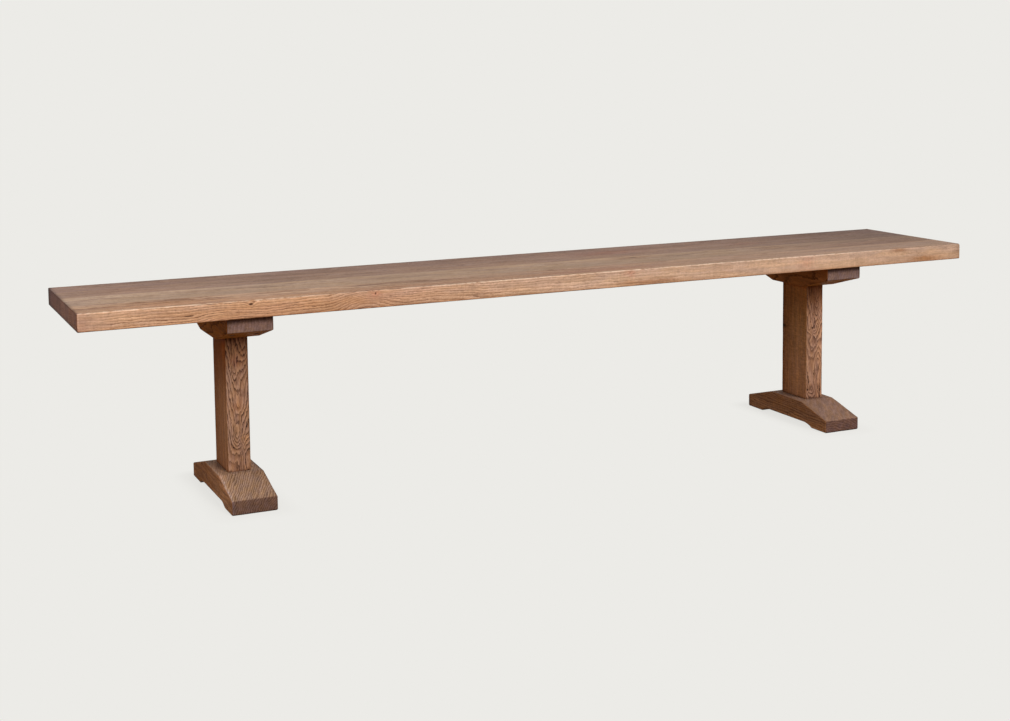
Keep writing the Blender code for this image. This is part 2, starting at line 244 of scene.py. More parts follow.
class Graph:
    """The nodes of one material or world."""

    def __init__(self, owner: bpy.types.Material | bpy.types.World) -> None:
        """Start with an empty tree."""
        owner.use_nodes = True
        self.tree = owner.node_tree
        self.tree.nodes.clear()

    def node(
        self, kind: str, settings: Mapping[str, object], values: Mapping[int | str, Source]
    ) -> bpy.types.Node:
        """Add a node.

        Args:
            kind: The node's type.
            settings: Its properties, which are set first.
            values: What goes into its sockets, by number or name: a link or a plain value.

        Returns:
            The node.
        """
        made = self.tree.nodes.new(kind)
        for name, setting in settings.items():
            setattr(made, name, setting)
        for key, value in values.items():
            socket = made.inputs[key]
            if isinstance(value, Field):
                self.tree.links.new(value.socket, socket)
            else:
                socket.default_value = (*value, 1.0) if socket.type == "RGBA" else value
        return made

    def field(
        self,
        kind: str,
        settings: Mapping[str, object],
        values: Mapping[int | str, Source],
        output: int | str = 0,
    ) -> Field:
        """Add a node for one of its outputs.

        Args:
            kind: The node's type.
            settings: Its properties.
            values: What goes into its sockets.
            output: The output's number or name.

        Returns:
            The output.
        """
        return Field(self, self.node(kind, settings, values).outputs[output])

    def position(self) -> Field:
        """A point's place in its object's own space."""
        return self.field("ShaderNodeTexCoord", {}, {}, "Object")

    def normal(self) -> Field:
        """The way a surface faces in its object's own space."""
        return self.field("ShaderNodeTexCoord", {}, {}, "Normal")

    def noise(self, point: Field, detail: float, roughness: float) -> Field:
        """Soft noise from 0 to 1 with features about one unit wide.

        Args:
            point: Where to read it.
            detail: How many finer layers it has.
            roughness: How strong the finer layers are.

        Returns:
            The noise.
        """
        values = {"Vector": point, "Scale": 1.0, "Detail": detail, "Roughness": roughness}
        return self.field("ShaderNodeTexNoise", {}, values)

    def chance(self, number: Field) -> Field:
        """A value from 0 to 1 that stays the same for each whole number."""
        return self.field("ShaderNodeTexWhiteNoise", {"noise_dimensions": "1D"}, {"W": number}, "Value")

    def mix(self, factor: Value, one: Source, other: Source, blend: str = "MIX") -> Field:
        """Blend two colours.

        Args:
            factor: How much of the other colour is used.
            one: The colour at a factor of zero.
            other: The colour at a factor of one.
            blend: How they are blended.

        Returns:
            The blended colour.
        """
        settings = {"data_type": "RGBA", "blend_type": blend, "clamp_factor": True}
        return self.field("ShaderNodeMix", settings, {0: factor, 6: one, 7: other}, 2)

    def seen(self) -> Field:
        """One for rays from the camera, and for those that reach this through gloss or glass."""
        path = self.node("ShaderNodeLightPath", {}, {})
        kinds = ("Camera", "Glossy", "Transmission")
        rays = [Field(self, path.outputs[f"Is {kind} Ray"]) for kind in kinds]
        return rays[0].most(rays[1]).most(rays[2])

    def surface(self, shader: Field, output: str = "ShaderNodeOutputMaterial") -> None:
        """Make a shader the surface of the material, or of the world where the output says so."""
        self.node(output, {}, {"Surface": shader})

    def bumpy_surface(
        self, values: Mapping[str, Source], height: Field, strength: float, depth: float
    ) -> None:
        """Make a principled shader with bumps the surface.

        Args:
            values: What goes into the shader's sockets.
            height: The height of the bumps, as a share of their depth.
            strength: How strong they are.
            depth: Their depth.
        """
        bump = {"Strength": strength, "Distance": depth, "Height": height}
        normal = self.field("ShaderNodeBump", {}, bump)
        self.surface(self.field("ShaderNodeBsdfPrincipled", {}, {**values, "Normal": normal}))


@dataclass(frozen=True)
class Spot:
    """A soft ellipsoid in space, strongest in its middle."""

    middle: Place
    reach: Place
    amount: float = 1.0

    def at(self, point: Field) -> Field:
        """Its amount at a point, which falls off as a bell from its middle."""
        away = point.vector("SUBTRACT", self.middle).vector("DIVIDE", self.reach)
        return away.dot(away).bell() * self.amount


def total(spots: Sequence[Spot], point: Field) -> Value:
    """The sum of some spots' amounts at a point, or plain zero where there are none."""
    return sum((spot.at(point) for spot in spots), 0.0)


@dataclass(frozen=True)
class Extent(Box):
    """The space that a piece of wood fills, from which its arrises are found.

    The top or the underside may slope from a flat stretch at the middle towards the two ends along Y: the
    top falls or the underside climbs. The ends along X count as farther off by the spared distance.
    """

    flat: float = 0.0
    fall: float = 0.0
    climb: float = 0.0
    spared: float = 0.0

    def arris(self, point: Field) -> Field:
        """Find how far a point of the surface is from the nearest arris.

        Args:
            point: The point.

        Returns:
            The distance along the face.
        """
        x, y, z = point.parts()
        middle, half = self.middle, self.size / 2
        from_end = half.x + self.spared - abs(x - middle.x)
        from_side = half.y - abs(y - middle.y)
        if self.flat:
            beyond = (abs(y - middle.y) - self.flat / 2).most(0.0)
            top = self.high.z - beyond * self.fall
            underside = self.low.z + beyond * self.climb
            from_face = (top - z).least(z - underside)
        else:
            from_face = half.z - abs(z - middle.z)
        return from_end + from_side + from_face - from_end.most(from_side).most(from_face)


# From where to where a face's share of a way rises, by how much it looks that way
FACES_IT = (0.4, 0.9)


@dataclass(frozen=True)
class Facing:
    """Painted light and shade: a tone over the faces that look one way, for how they are lit, which an upper
    tone can take over between two heights.
    """

    way: Place
    tone: Colour
    above: Colour | None = None
    low: float = 0.0
    high: float = 0.0

    def over(self, colour: Field, point: Field, normal: Field) -> Field:
        """Lay it over a colour.

        Args:
            colour: The colour.
            point: The point.
            normal: The way that the surface faces.

        Returns:
            The toned colour.
        """
        share = normal.dot(self.way).rise(*FACES_IT)
        tone = self.tone
        if self.above:
            tone = point.graph.mix(point.parts()[2].rise(self.low, self.high), self.tone, self.above)
        return colour.toned(share, tone)


def facings(
    flanks: Colour | None = None,
    ends: Colour | None = None,
    under: Colour | None = None,
    top: Colour | None = None,
) -> tuple[Facing, ...]:
    """Painted light and shade by the way that a piece's faces look, with the end grain's own colour also in
    the tones of faces that show end grain.

    Args:
        flanks: The tone of the faces that look along X.
        ends: The tone of the faces that look along Y.
        under: The tone of the faces that look down.
        top: The tone of the faces that look up.

    Returns:
        A facing for each way that has a tone.
    """
    tones = ((ALONG_X, flanks), (ALONG_Y, ends), ((DOWN,), under), ((UP,), top))
    return tuple(Facing(way, tone) for ways, tone in tones if tone for way in ways)


@dataclass(frozen=True)
class StainAndPaintedLight:
    """A soft patch of another tone, which noise makes more or less ragged. It serves both for real blotches
    in the wood and for painted light and shade.
    """

    middle: Place
    reach: Place
    tone: Colour
    amount: float = 1.0
    ragged: float = 0.03

    def over(self, colour: Field, point: Field, drift: Field) -> Field:
        """Lay it over a colour.

        Args:
            colour: The colour.
            point: The point.
            drift: A noisy vector that moves the point about.

        Returns:
            The stained colour.
        """
        moved = drift.vector("MULTIPLY_ADD", (self.ragged,) * 3, point)
        return colour.toned(Spot(self.middle, self.reach, self.amount).at(moved), self.tone)


@dataclass(frozen=True)
class Pith:
    """The middle of the tree that a piece was sawn from.

    Across and depth are its place beside the grain where it passes the place along, and its leans are how
    far it moves sideways for each metre along.
    """

    along: float
    across: float
    depth: float
    lean_across: float = 0.0
    lean_depth: float = 0.0


@dataclass(frozen=True)
class Tones:
    """The colours of one piece of oak, with the painted light and shade of its faces in its facings."""

    light: Colour
    middle: Colour
    dark: Colour
    pore: Colour
    worn: Colour
    facing: Sequence[Facing] = ()


@dataclass(frozen=True)
class Figure:
    """Noise with features of one length along the grain and one width across it."""

    length: float
    width: float
    detail: float = 2.0
    roughness: float = 0.5


BROAD_STREAKS = Figure(0.11, 0.0042, 3.0, 0.6)
FINE_STREAKS = Figure(0.022, 0.0009, 2.0, 0.6)
PORES = Figure(0.0075, 0.0007, 0.0)
CLOUDS = Figure(0.28, 0.05, 2.0, 0.6)
MOTTLE = Figure(0.045, 0.012, 3.0, 0.65)
BANDS = Figure(0.50, 0.009, 1.0)
SLOW_WANDER = Figure(0.090, 0.022)
QUICK_WANDER = Figure(0.016, 0.0045)
RAGGED_LINES = Figure(0.0070, 0.0012, 1.0)
RAYS = Figure(0.0030, 0.016, 2.0, 0.6)
FLECKS = Figure(0.0042, 0.016, 2.0, 0.7)
CHECKS = Figure(0.020, 0.0030, 1.0)
WEAR = Figure(0.014, 0.006, 3.0, 0.65)
HAIRS = Figure(0.030, 0.0012, 3.0, 0.6)
DRIFT = Figure(0.05, 0.012)
SEED_SHARES = (7.1, 3.7, 5.3)
# The heights over a piece's underside between which its arrises begin to show wear and its painted highlight
UNWORN_TO_WORN = (0.003, 0.010)
GOLDEN = (1.03, 1.00, 0.91)
PURPLISH = (0.97, 0.99, 1.07)


@dataclass(frozen=True)
class Oak:
    """Oiled, brushed oak: growth rings about a pith, fibres, pores, knots, blotches, worn arrises that also
    hold a painted highlight, and painted light and shade.
    """

    name: str
    grain: Grain
    tones: Tones
    pith: Pith
    seed: float
    ring_width: float = 0.004
    ring_strength: float = 0.6
    wander: float = 0.7
    early_share: float = 0.42
    swirls: Sequence[Spot] = ()
    knots: Sequence[Spot] = ()
    stains_and_painted_light: Sequence[StainAndPaintedLight] = ()
    tint: Colour = (1.0, 1.0, 1.0)
    mottle: float = 0.16
    streaks: float = 0.45
    bands: float = 0.0
    hues: float = 0.6
    rays: float = 0.0
    flecks: float = 0.0
    slant: float = 0.0
    broken: float = 0.35
    late_light: float = 0.5
    hairy: float = 0.35
    hue_patch: Figure = Figure(0.040, 0.011, 2.0, 0.6)
    faces: Place = (1.0, 1.0, 1.0)
    calm: Sequence[Spot] = ()
    unworn: Sequence[Spot] = ()
    checks: float = 0.0
    wear_width: float = 0.0022
    wear: float = 0.5
    gloss: float = 0.02
    roughness: float = 0.52
    bump_strength: float = 0.5
    bump_depth: float = 0.0005

    def stretched(self, point: Field, figure: Figure) -> Field:
        """A point where plain noise has a figure's length and width, in this piece's part of the noise."""
        scale = [1 / figure.width] * 3
        scale[self.grain.value] = 1 / figure.length
        return point.vector("MULTIPLY_ADD", scale, [self.seed * share for share in SEED_SHARES])

    def noise(self, point: Field, figure: Figure) -> Field:
        """A figure's noise at a point, from 0 to 1."""
        return point.graph.noise(self.stretched(point, figure), figure.detail, figure.roughness)

    def swing(self, point: Field, figure: Figure) -> Field:
        """A figure's noise at a point, from minus a half to a half."""
        return self.noise(point, figure) - 0.5

    def straightened(self, point: Field, sideways: Field) -> Field:
        """A point in a space where slanting fibres run straight along the grain's axis.

        Args:
            point: The point.
            sideways: How much the surface faces along X, where the fibres don't slant.

        Returns:
            The point in that space.
        """
        if not self.slant:
            return point
        parts = point.parts()
        along = parts[self.grain.value] - self.pith.along
        across = min({0, 1, 2} - {self.grain.value})
        parts[across] = parts[across] - along * (1 - sideways) * self.slant
        return point.graph.field("ShaderNodeCombineXYZ", {}, dict(enumerate(parts)))

    def rings(self, point: Field, fibre: Field) -> Field:
        """How many growth rings lie between the pith and a point.

        Args:
            point: The point, by which swirls bend the rings.
            fibre: The point where fibres are straight.

        Returns:
            The number of rings, bent by slow and quick wander too.
        """
        parts = fibre.parts()
        along = parts.pop(self.grain.value) - self.pith.along
        across, depth = parts
        from_across = across - self.pith.across - along * self.pith.lean_across
        from_depth = depth - self.pith.depth - along * self.pith.lean_depth
        rings = (from_across * from_across + from_depth * from_depth).root() / self.ring_width
        rings = rings + self.swing(fibre, SLOW_WANDER) * (3.2 * self.wander)
        rings = rings + self.swing(fibre, QUICK_WANDER) * (1.1 * self.wander)
        rings = rings + self.swing(fibre, RAGGED_LINES) * self.hairy
        return rings + total(self.swirls, point) if self.swirls else rings

    def wood(self, point: Field, fibre: Field, ways: Sequence[Field], pores: Field) -> tuple[Field, Field]:
        """The colour of rings, fibres and pores.

        Args:
            point: The point.
            fibre: The point where fibres are straight.
            ways: How much the surface faces along each axis.
            pores: Where the pores are.

        Returns:
            The colour, and how much the point lies in the dark, porous wood at the start of a ring.
        """
        graph, tones = point.graph, self.tones
        broad = self.noise(fibre, BROAD_STREAKS)
        rings = self.rings(point, fibre)
        phase = rings.fraction()
        dark = 1 - phase.rise(0.04, self.early_share) + phase.rise(0.94, 1.0)
        uneven = 0.55 + 0.45 * graph.chance(rings.floor())
        unbroken = self.broken + (1 - self.broken) * broad.rise(0.34, 0.58)
        shown = sum(way * share for way, share in zip(ways, self.faces))
        early = dark * uneven * unbroken * shown
        late = rings.fraction().rise(0.45, 0.80) * shown * self.ring_strength
        light = (broad - 0.5) * (3.2 * self.streaks)
        if self.calm:
            lively = (1 - total(self.calm, point)).most(0.0)
            early, late, light = early * lively, late * lively, light * (0.4 + 0.6 * lively)
        light = light + self.swing(fibre, FINE_STREAKS) * (2.0 * self.streaks)
        colour = graph.mix(light + 0.3 + late * self.late_light, tones.middle, tones.light)
        colour = graph.mix(early * self.ring_strength, colour, tones.dark)
        return graph.mix(pores * (0.22 + 0.4 * early), colour, tones.pore), early

    def shade(self, point: Field, fibre: Field, ways: Sequence[Field]) -> Field:
        """How light clouds, mottle, bands, rays and flecks make a point.

        Args:
            point: The point.
            fibre: The point where fibres are straight.
            ways: How much the surface faces along each axis.

        Returns:
            The factor.
        """
        swing = 2.4
        shade = 1 + self.swing(fibre, CLOUDS) * (self.mottle * swing)
        shade = shade + self.swing(fibre, MOTTLE) * (self.mottle * swing)
        shade = shade + self.swing(fibre, BANDS) * (self.bands * swing)
        if self.rays:
            shade = shade + (self.noise(point, RAYS).rise(0.36, 0.72) - 0.45) * ways[0] * self.rays
        if self.flecks:
            shade = shade + self.swing(point, FLECKS) * ways[1] * (self.flecks * swing)
        return shade

    def worn(self, point: Field, extent: Extent) -> Field:
        """How much the finish is worn off at a point, along the arrises and not where the piece stands; the
        worn colour there is also a painted highlight on the upper arrises.
        """
        width = (self.noise(point, WEAR) - 0.2) * (self.wear_width * 3.2)
        worn = 1 - extent.arris(point).rise(self.wear_width * 0.2, width)
        worn = worn * (point.parts()[2] - extent.low.z).rise(*UNWORN_TO_WORN)
        return worn * self.wear * (1 - total(self.unworn, point))

    def material(self, extent: Extent) -> bpy.types.Material:
        """Make the finish of a piece.

        Args:
            extent: The space that the piece fills.

        Returns:
            The finish.
        """
        material = bpy.data.materials.new(self.name)
        graph = Graph(material)
        point, normal = graph.position(), graph.normal()
        ways = [abs(way).rise(*FACES_IT) for way in normal.parts()]
        fibre = self.straightened(point, ways[0])
        pores = self.noise(fibre, PORES).rise(0.60, 0.68)
        colour, early = self.wood(point, fibre, ways, pores)
        warm = self.noise(fibre, self.hue_patch).rise(0.38, 0.62)
        colour = colour.toned(self.hues, graph.mix(warm, PURPLISH, GOLDEN))
        colour = graph.mix(1.0, colour.scaled(self.shade(point, fibre, ways)), self.tint, "MULTIPLY")
        swirling = graph.field("ShaderNodeTexNoise", {}, {"Vector": self.stretched(point, DRIFT)}, "Color")
        drift = swirling.vector("SUBTRACT", (0.5, 0.5, 0.5))
        # Real blotches of the wood, and painted light and shade such as painted shadows under the seat and
        # the bearers
        for marking in self.stains_and_painted_light:
            colour = marking.over(colour, point, drift)
        if self.checks:
            marks = self.noise(point, CHECKS).rise(0.70, 0.76)
            colour = graph.mix(marks * self.checks, colour, self.tones.pore)
        # Painted light and shade by the way each face looks
        for facing in self.tones.facing:
            colour = facing.over(colour, point, normal)
        # Worn arrises: real wear, and a painted highlight on the upper arrises
        colour = graph.mix(self.worn(point, extent), colour, self.tones.worn)
        porous = early * 0.5 + pores * 0.5
        hairs = self.noise(point, HAIRS)
        height = hairs * 0.5 - porous * 0.9
        if self.knots:
            knotty = total(self.knots, point).rise(0.25, 0.8)
            colour = graph.mix(knotty, colour, self.tones.pore)
            height = height - knotty * 1.5
        values = {
            "Base Color": colour,
            "Roughness": self.roughness + porous * 0.22 + hairs * 0.10,
            "Specular IOR Level": self.gloss,
        }
        graph.bumpy_surface(values, height, self.bump_strength, self.bump_depth)
        return material


@dataclass(frozen=True)
class Steel:
    """Zinc-plated steel with the faint rings of turning and a cloudy plating."""

    name: str
    colour: Colour
    roughness: float
    cloud_colour: Colour = srgb(150, 146, 132)
    cloud_size: float = 0.0024
    cloudiness: float = 0.5
    ring_width: float = 0.0005
    bump_strength: float = 0.2
    bump_depth: float = 0.0001

    def material(self) -> bpy.types.Material:
        """Make the finish."""
        material = bpy.data.materials.new(self.name)
        graph = Graph(material)
        point = graph.position()
        x, y, _ = point.parts()
        turned = ((x * x + y * y).root() / self.ring_width).fraction().rise(0.0, 0.8)
        clouds = graph.noise(point.vector("DIVIDE", (self.cloud_size,) * 3), 3.0, 0.6)
        cloudy = clouds.rise(0.3, 0.7) * self.cloudiness
        values = {
            "Base Color": graph.mix(cloudy, self.colour, self.cloud_colour),
            "Roughness": self.roughness + clouds * 0.2,
            "Metallic": 1.0,
        }
        graph.bumpy_surface(values, turned, self.bump_strength, self.bump_depth)
        return material


@dataclass(frozen=True)
class Rim:
    """A point of an outline, and how it moves as its corner is rounded and as the outline is drawn in.

    A point on a rounded corner lies at base + to_centre * radius + outward * radius. Any other has a radius
    of zero and moves from its base along inset.
    """

    base: Vector
    inset: Vector = Vector((0, 0))
    radius: float = 0.0
    to_centre: Vector = Vector((0, 0))
    outward: Vector = Vector((0, 0))

    def at(self, rounding: float, drawn_in: float) -> Vector:
        """Its place.

        Args:
            rounding: How much larger or smaller than its own the corner's radius is, as a factor.
            drawn_in: How far the outline is drawn in.

        Returns:
            The place in the outline's plane.
        """
        radius = self.radius * rounding
        if not radius:
            return self.base + self.inset * drawn_in
        reach = max(radius, drawn_in)
        return self.base + self.to_centre * reach + self.outward * (reach - drawn_in)


@dataclass(frozen=True)
class Corner:
    """A corner of an outline, and whether the edge that follows it is eased where the piece ends."""

    place: tuple[float, float]
    radius: float = 0.0
    eased: bool = True


def rims(corners: Sequence[Corner], step: float, arc_steps: int = 5) -> list[Rim]:
    """Walk round an outline, anticlockwise.

    Args:
        corners: Its corners in order.
        step: The longest gap between two points on a straight edge.
        arc_steps: How many steps a rounded corner has.

    Returns:
        Its points in order.
    """
    points = []
    for index, corner in enumerate(corners):
        before, after = corners[index - 1], corners[(index + 1) % len(corners)]
        here, onward = Vector(corner.place), Vector(after.place) - Vector(corner.place)
        way_in, way_out = (here - Vector(before.place)).normalized(), onward.normalized()
        normal_in, normal_out = Vector((way_in.y, -way_in.x)), Vector((way_out.y, -way_out.x))
        inwards = Matrix((normal_in, normal_out)).inverted()
        if corner.radius:
            turn = normal_in.angle_signed(normal_out)
            for arc_step in range(arc_steps + 1):
                outward = normal_in.copy()
                outward.rotate(Matrix.Rotation(-turn * arc_step / arc_steps, 2))
                centre = inwards @ Vector((-1, -1))
                points.append(Rim(here, radius=corner.radius, to_centre=centre, outward=outward))
        else:
            points.append(Rim(here, inwards @ Vector((-float(before.eased), -float(corner.eased)))))
        pieces = max(1, round(onward.length / step))
        inset = -normal_out * float(corner.eased)
        places = (onward.length * piece / pieces for piece in range(1, pieces))
        points += [Rim(here + way_out * place, inset) for place in places]
    return points


def eased_end(easing: float, arc_steps: int = 4) -> list[tuple[float, float]]:
    """Steps round an eased end.

    Args:
        easing: The end's radius.
        arc_steps: How many steps it has.

    Returns:
        How far each step lies from the end, with how far the outline is drawn in there.
    """
    angles = [math.pi / 2 * share / arc_steps for share in range(arc_steps + 1)]
    return [(easing * (1 - math.cos(angle)), easing * (1 - math.sin(angle))) for angle in angles]


def stations(
    low: float, high: float, easings: tuple[float, float], step: float
) -> list[tuple[float, float]]:
    """Places along a piece at which its outline is drawn, close together where its ends are eased.

    Args:
        low: Where the piece starts.
        high: Where it ends.
        easings: The radii of its eased ends.
        step: The longest gap between two places.

    Returns:
        Each place with how far the outline is drawn in there.
    """
    first, last = low + easings[0], high - easings[1]
    count = max(2, round((last - first) / step))
    start = [(low + away, inset) for away, inset in eased_end(easings[0])]
    middle = [(first + (last - first) * share / count, 0.0) for share in range(1, count)]
    finish = [(high - away, inset) for away, inset in reversed(eased_end(easings[1]))]
    return start + middle + finish


def in_scene(name: str, mesh: bpy.types.Mesh, location: Place = (0, 0, 0)) -> bpy.types.Object:
    """Put a mesh in the scene, with its origin at a place."""
    made = bpy.data.objects.new(name, mesh)
    made.location = location
    bpy.context.scene.collection.objects.link(made)
    return made


def skin(name: str, loops: Sequence[Sequence[Vector]], closed: bool = False) -> bpy.types.Mesh:
    """Make a solid by skinning loops of equal length in order.

    Args:
        name: The mesh's name.
        loops: The loops.
        closed: Whether the last loop meets the first. If not, both are capped.

    Returns:
        The mesh.
    """
    bm = bmesh.new()
    rows = [[bm.verts.new(point) for point in loop] for loop in loops]
    pairs = list(zip(rows, rows[1:]))
    if closed:
        pairs.append((rows[-1], rows[0]))
    else:
        bm.faces.new(rows[0])
        bm.faces.new(rows[-1])
    for low, high in pairs:
        for corner, start in enumerate(low):
            bm.faces.new((low[corner - 1], start, high[corner], high[corner - 1]))
    bmesh.ops.recalc_face_normals(bm, faces=bm.faces)
    mesh = bpy.data.meshes.new(name)
    bm.to_mesh(mesh)
    bm.free()
    return mesh


def wear_at(point: Vector, seed: float, size: float = 0.018, spread: float = 0.35) -> float:
    """How worn an arris is at a point.

    Args:
        point: The point.
        seed: A number of the piece's own.
        size: About how long a worn stretch is.
        spread: How strong each of its two kinds of noise is.

    Returns:
        A factor for the arris's radius, about 0.6 to 1.4.
    """
    slow = noise.noise(point / (size * 4) + Vector((seed, 0, 0)))
    quick = noise.noise(point / size + Vector((0, seed, 0)))
    return 1 + spread * slow + spread * quick


def carried(
    name: str,
    outline: Sequence[Rim],
    places: Sequence[tuple[float, float]],
    seed: float,
    most_worn: float,
    swell: Callable[[float], float] = lambda x: 1.0,
) -> bpy.types.Object:
    """A piece whose outline in Y and Z is carried along X, with unevenly worn arrises.

    Args:
        name: The piece's name.
        outline: Its outline.
        places: Where the outline is drawn, with how far it is drawn in there.
        seed: A number of the piece's own.
        most_worn: The largest factor for how far the outline is drawn in.
        swell: A further factor for the radius of its arrises, by the place along X.

    Returns:
        The piece.
    """
    loops = []
    for x, inset in places:
        loop = []
        for rim in outline:
            worn = wear_at(Vector((x, *rim.base)), seed)
            loop.append(Vector((x, *rim.at(worn * swell(x), inset * min(worn, most_worn)))))
        loops.append(loop)
    return in_scene(name, skin(name, loops))


def cut(piece: bpy.types.Object, tools: Sequence[bpy.types.Object]) -> None:
    """Cut tools out of a piece and remove the tools.

    Args:
        piece: The piece.
        tools: The solids that are cut out of it.
    """
    for tool in tools:
        boolean = piece.modifiers.new(tool.name, "BOOLEAN")
        boolean.operation = "DIFFERENCE"
        boolean.solver = "EXACT"
        boolean.object = tool
    bpy.context.view_layer.update()
    result = bpy.data.meshes.new_from_object(piece.evaluated_get(bpy.context.evaluated_depsgraph_get()))
    result.name = piece.data.name
    piece.modifiers.clear()
    piece.data = result
    for tool in tools:
        bpy.data.objects.remove(tool)


def finished(
    piece: bpy.types.Object, node: str, material: bpy.types.Material, smooth_angle: float = 38
) -> None:
    """Shade and dress a piece, and let it stand for its node.

    Args:
        piece: The piece.
        node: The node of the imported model.
        material: Its finish.
        smooth_angle: The sharpest angle that is shaded smooth, in degrees.
    """
    mesh = piece.data
    mesh.materials.clear()
    mesh.materials.append(material)
    mesh.shade_smooth()
    mesh.set_sharp_from_angle(angle=math.radians(smooth_angle))
    piece.modifiers.new("flat_faces", "WEIGHTED_NORMAL").keep_sharp = True
    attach(piece, BODY)
    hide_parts(node)
    LOG.info("%s stands for %s: %d faces", piece.name, node, len(mesh.polygons))


@dataclass(frozen=True)
class Turning:
    """One level of a turned shape: a radius at a height, round, hexagonal or drawn out along Y."""

    radius: float
    height: float
    hexagonal: bool = False
    travel: float = 0.0

    def loop(self, sides: int, thread: float = 0.0, pitch: float = 1.0) -> list[Vector]:
        """Its points.

        Args:
            sides: How many there are.
            thread: How far a thread stands out from the radius.
            pitch: How far the thread climbs in a turn.

        Returns:
            The points, in order.
        """
        points = []
        sixth = math.pi / 3
        for step in range(sides):
            angle = 2 * math.pi * (step + 0.5) / sides
            radius = self.radius
            if self.hexagonal:
                radius /= math.cos((angle + sixth / 2) % sixth - sixth / 2)
            if thread:
                phase = (self.height / pitch - angle / (2 * math.pi)) % 1.0
                radius += thread * max(0.0, 1 - abs(phase - 0.5) * 4)
            shift = math.copysign(self.travel / 2, math.sin(angle)) if self.travel else 0.0
            points.append(Vector((radius * math.cos(angle), radius * math.sin(angle) + shift, self.height)))
        return points


def drilled(screw: Box, levels: Sequence[Turning], sides: int) -> bpy.types.Object:
    """A tool with the shape of the hole round a screw.

    Args:
        screw: The screw's box.
        levels: The hole's levels in order of height.
        sides: How many sides it has.

    Returns:
        The tool.
    """
    loops = [level.loop(sides) for level in levels]
    return in_scene("drill", skin("drill", loops), (screw.middle.x, screw.middle.y, 0))


def bore(
    screw: Box, outside: float, seat: float, far: float, radius: float, travel: float = 0.0
) -> bpy.types.Object:
    """The tool for a counterbore and the screw's hole beyond it.

    Args:
        screw: The screw's box.
        outside: A height outside the wood.
        seat: The height of the counterbore's seat.
        far: The height where the hole ends.
        radius: The counterbore's radius.
        travel: How far the hole is drawn out along Y.

    Returns:
        The tool.
    """
    hole = SHANK_RADIUS + HOLE_ROOM
    places = ((radius, outside), (radius, seat), (hole, seat), (hole, far))
    return drilled(screw, [Turning(*place, travel=travel) for place in places], BORE_SIDES)


def pilot(screw: Box, low: float, high: float) -> bpy.types.Object:
    """The tool for the narrow hole that a screw bites into, between two heights."""
    radius = SHANK_RADIUS + JOINT_GAP
    return drilled(screw, [Turning(radius, low), Turning(radius, high)], PILOT_SIDES)


@dataclass
class Screws:
    """The screws and washers of one leg.

    The head, shank, socket and thread are sizes of the screws themselves. Their places come from the model.
    """

    side: Side
    core_radius: float = 0.0021
    head_ease: float = 0.0011
    socket_radius: float = 0.0025
    socket_depth: float = 0.0025
    socket_floor_share: float = 0.3
    socket_point_share: float = 1.15
    socket_rim_share: float = 0.08
    socket_mouth_share: float = 1.12
    tip_radius: float = 0.0004
    tip_length: float = 0.006
    plain_length: float = 0.012
    pitch: float = 0.0026
    pitch_steps: int = 8
    sides: int = 36
    washer_ease_share: float = 0.2
    finish: Steel = Steel("zinc_plated_screw", srgb(196, 194, 188), 0.30)
    washer_finish: Steel = Steel("zinc_plated_washer", srgb(206, 204, 198), 0.34)

    def mesh(self, head: float, length: float) -> bpy.types.Mesh:
        """A screw that points up from the underside of its head, at height zero.

        Args:
            head: The radius of its head.
            length: From under the head to the tip.

        Returns:
            The mesh.
        """
        top, socket, depth = -HEAD_HEIGHT, self.socket_radius, self.socket_depth
        loops = [
            Turning(socket * self.socket_floor_share, top + depth * self.socket_point_share),
            Turning(socket, top + depth, hexagonal=True),
            Turning(socket, top + socket * self.socket_rim_share, hexagonal=True),
            Turning(socket * self.socket_mouth_share, top),
        ]
        loops += [Turning(head - away, top + inset) for away, inset in reversed(eased_end(self.head_ease))]
        loops += [Turning(head, 0.0), Turning(SHANK_RADIUS, 0.0), Turning(SHANK_RADIUS, self.plain_length)]
        rows = [level.loop(self.sides) for level in loops]
        count = int((length - self.tip_length - self.plain_length) / self.pitch * self.pitch_steps)
        for step in range(1, count):
            level = Turning(self.core_radius, self.plain_length + step * self.pitch / self.pitch_steps)
            thread = (SHANK_RADIUS - self.core_radius) * min(1.0, step / self.pitch_steps)
            rows.append(level.loop(self.sides, thread, self.pitch))
        rows.append(Turning(self.core_radius, length - self.tip_length).loop(self.sides))
        rows.append(Turning(self.tip_radius, length).loop(self.sides))
        return skin("screw", rows)

    def washer(self, box: Box) -> bpy.types.Mesh:
        """Make a washer with slightly rounded rims.

        Args:
            box: The space that it fills.

        Returns:
            Its mesh, standing on height zero.
        """
        outer, thickness = box.size.x / 2, box.size.z
        inner, ease = SHANK_RADIUS + JOINT_GAP, thickness * self.washer_ease_share
        rising = ((outer - ease, 0.0), (outer, ease), (outer, thickness - ease), (outer - ease, thickness))
        falling = ((inner + ease, thickness), (inner, thickness - ease), (inner, ease), (inner + ease, 0.0))
        loops = [Turning(*place).loop(self.sides) for place in rising + falling]
        return skin("washer", loops, closed=True)

    def build(self) -> None:
        """Make each screw and washer."""
        steel, plate = self.finish.material(), self.washer_finish.material()
        for node in sorted(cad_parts):
            if not node.startswith(self.side.value):
                continue
            box = Box.of(node)
            x, y, _ = box.middle
            if "_washer_" in node:
                piece = in_scene(f"{node}_plated", self.washer(box), (x, y, box.low.z))
                finished(piece, node, plate)
            elif "_screw_" in node:
                mesh = self.mesh(box.size.x / 2, box.size.z - HEAD_HEIGHT)
                piece = in_scene(f"{node}_plated", mesh, (x, y, box.low.z + HEAD_HEIGHT))
                if "_bearer_" in node:
                    piece.rotation_euler.x = math.pi
                    piece.location.z = box.high.z - HEAD_HEIGHT
                finished(piece, node, steel)


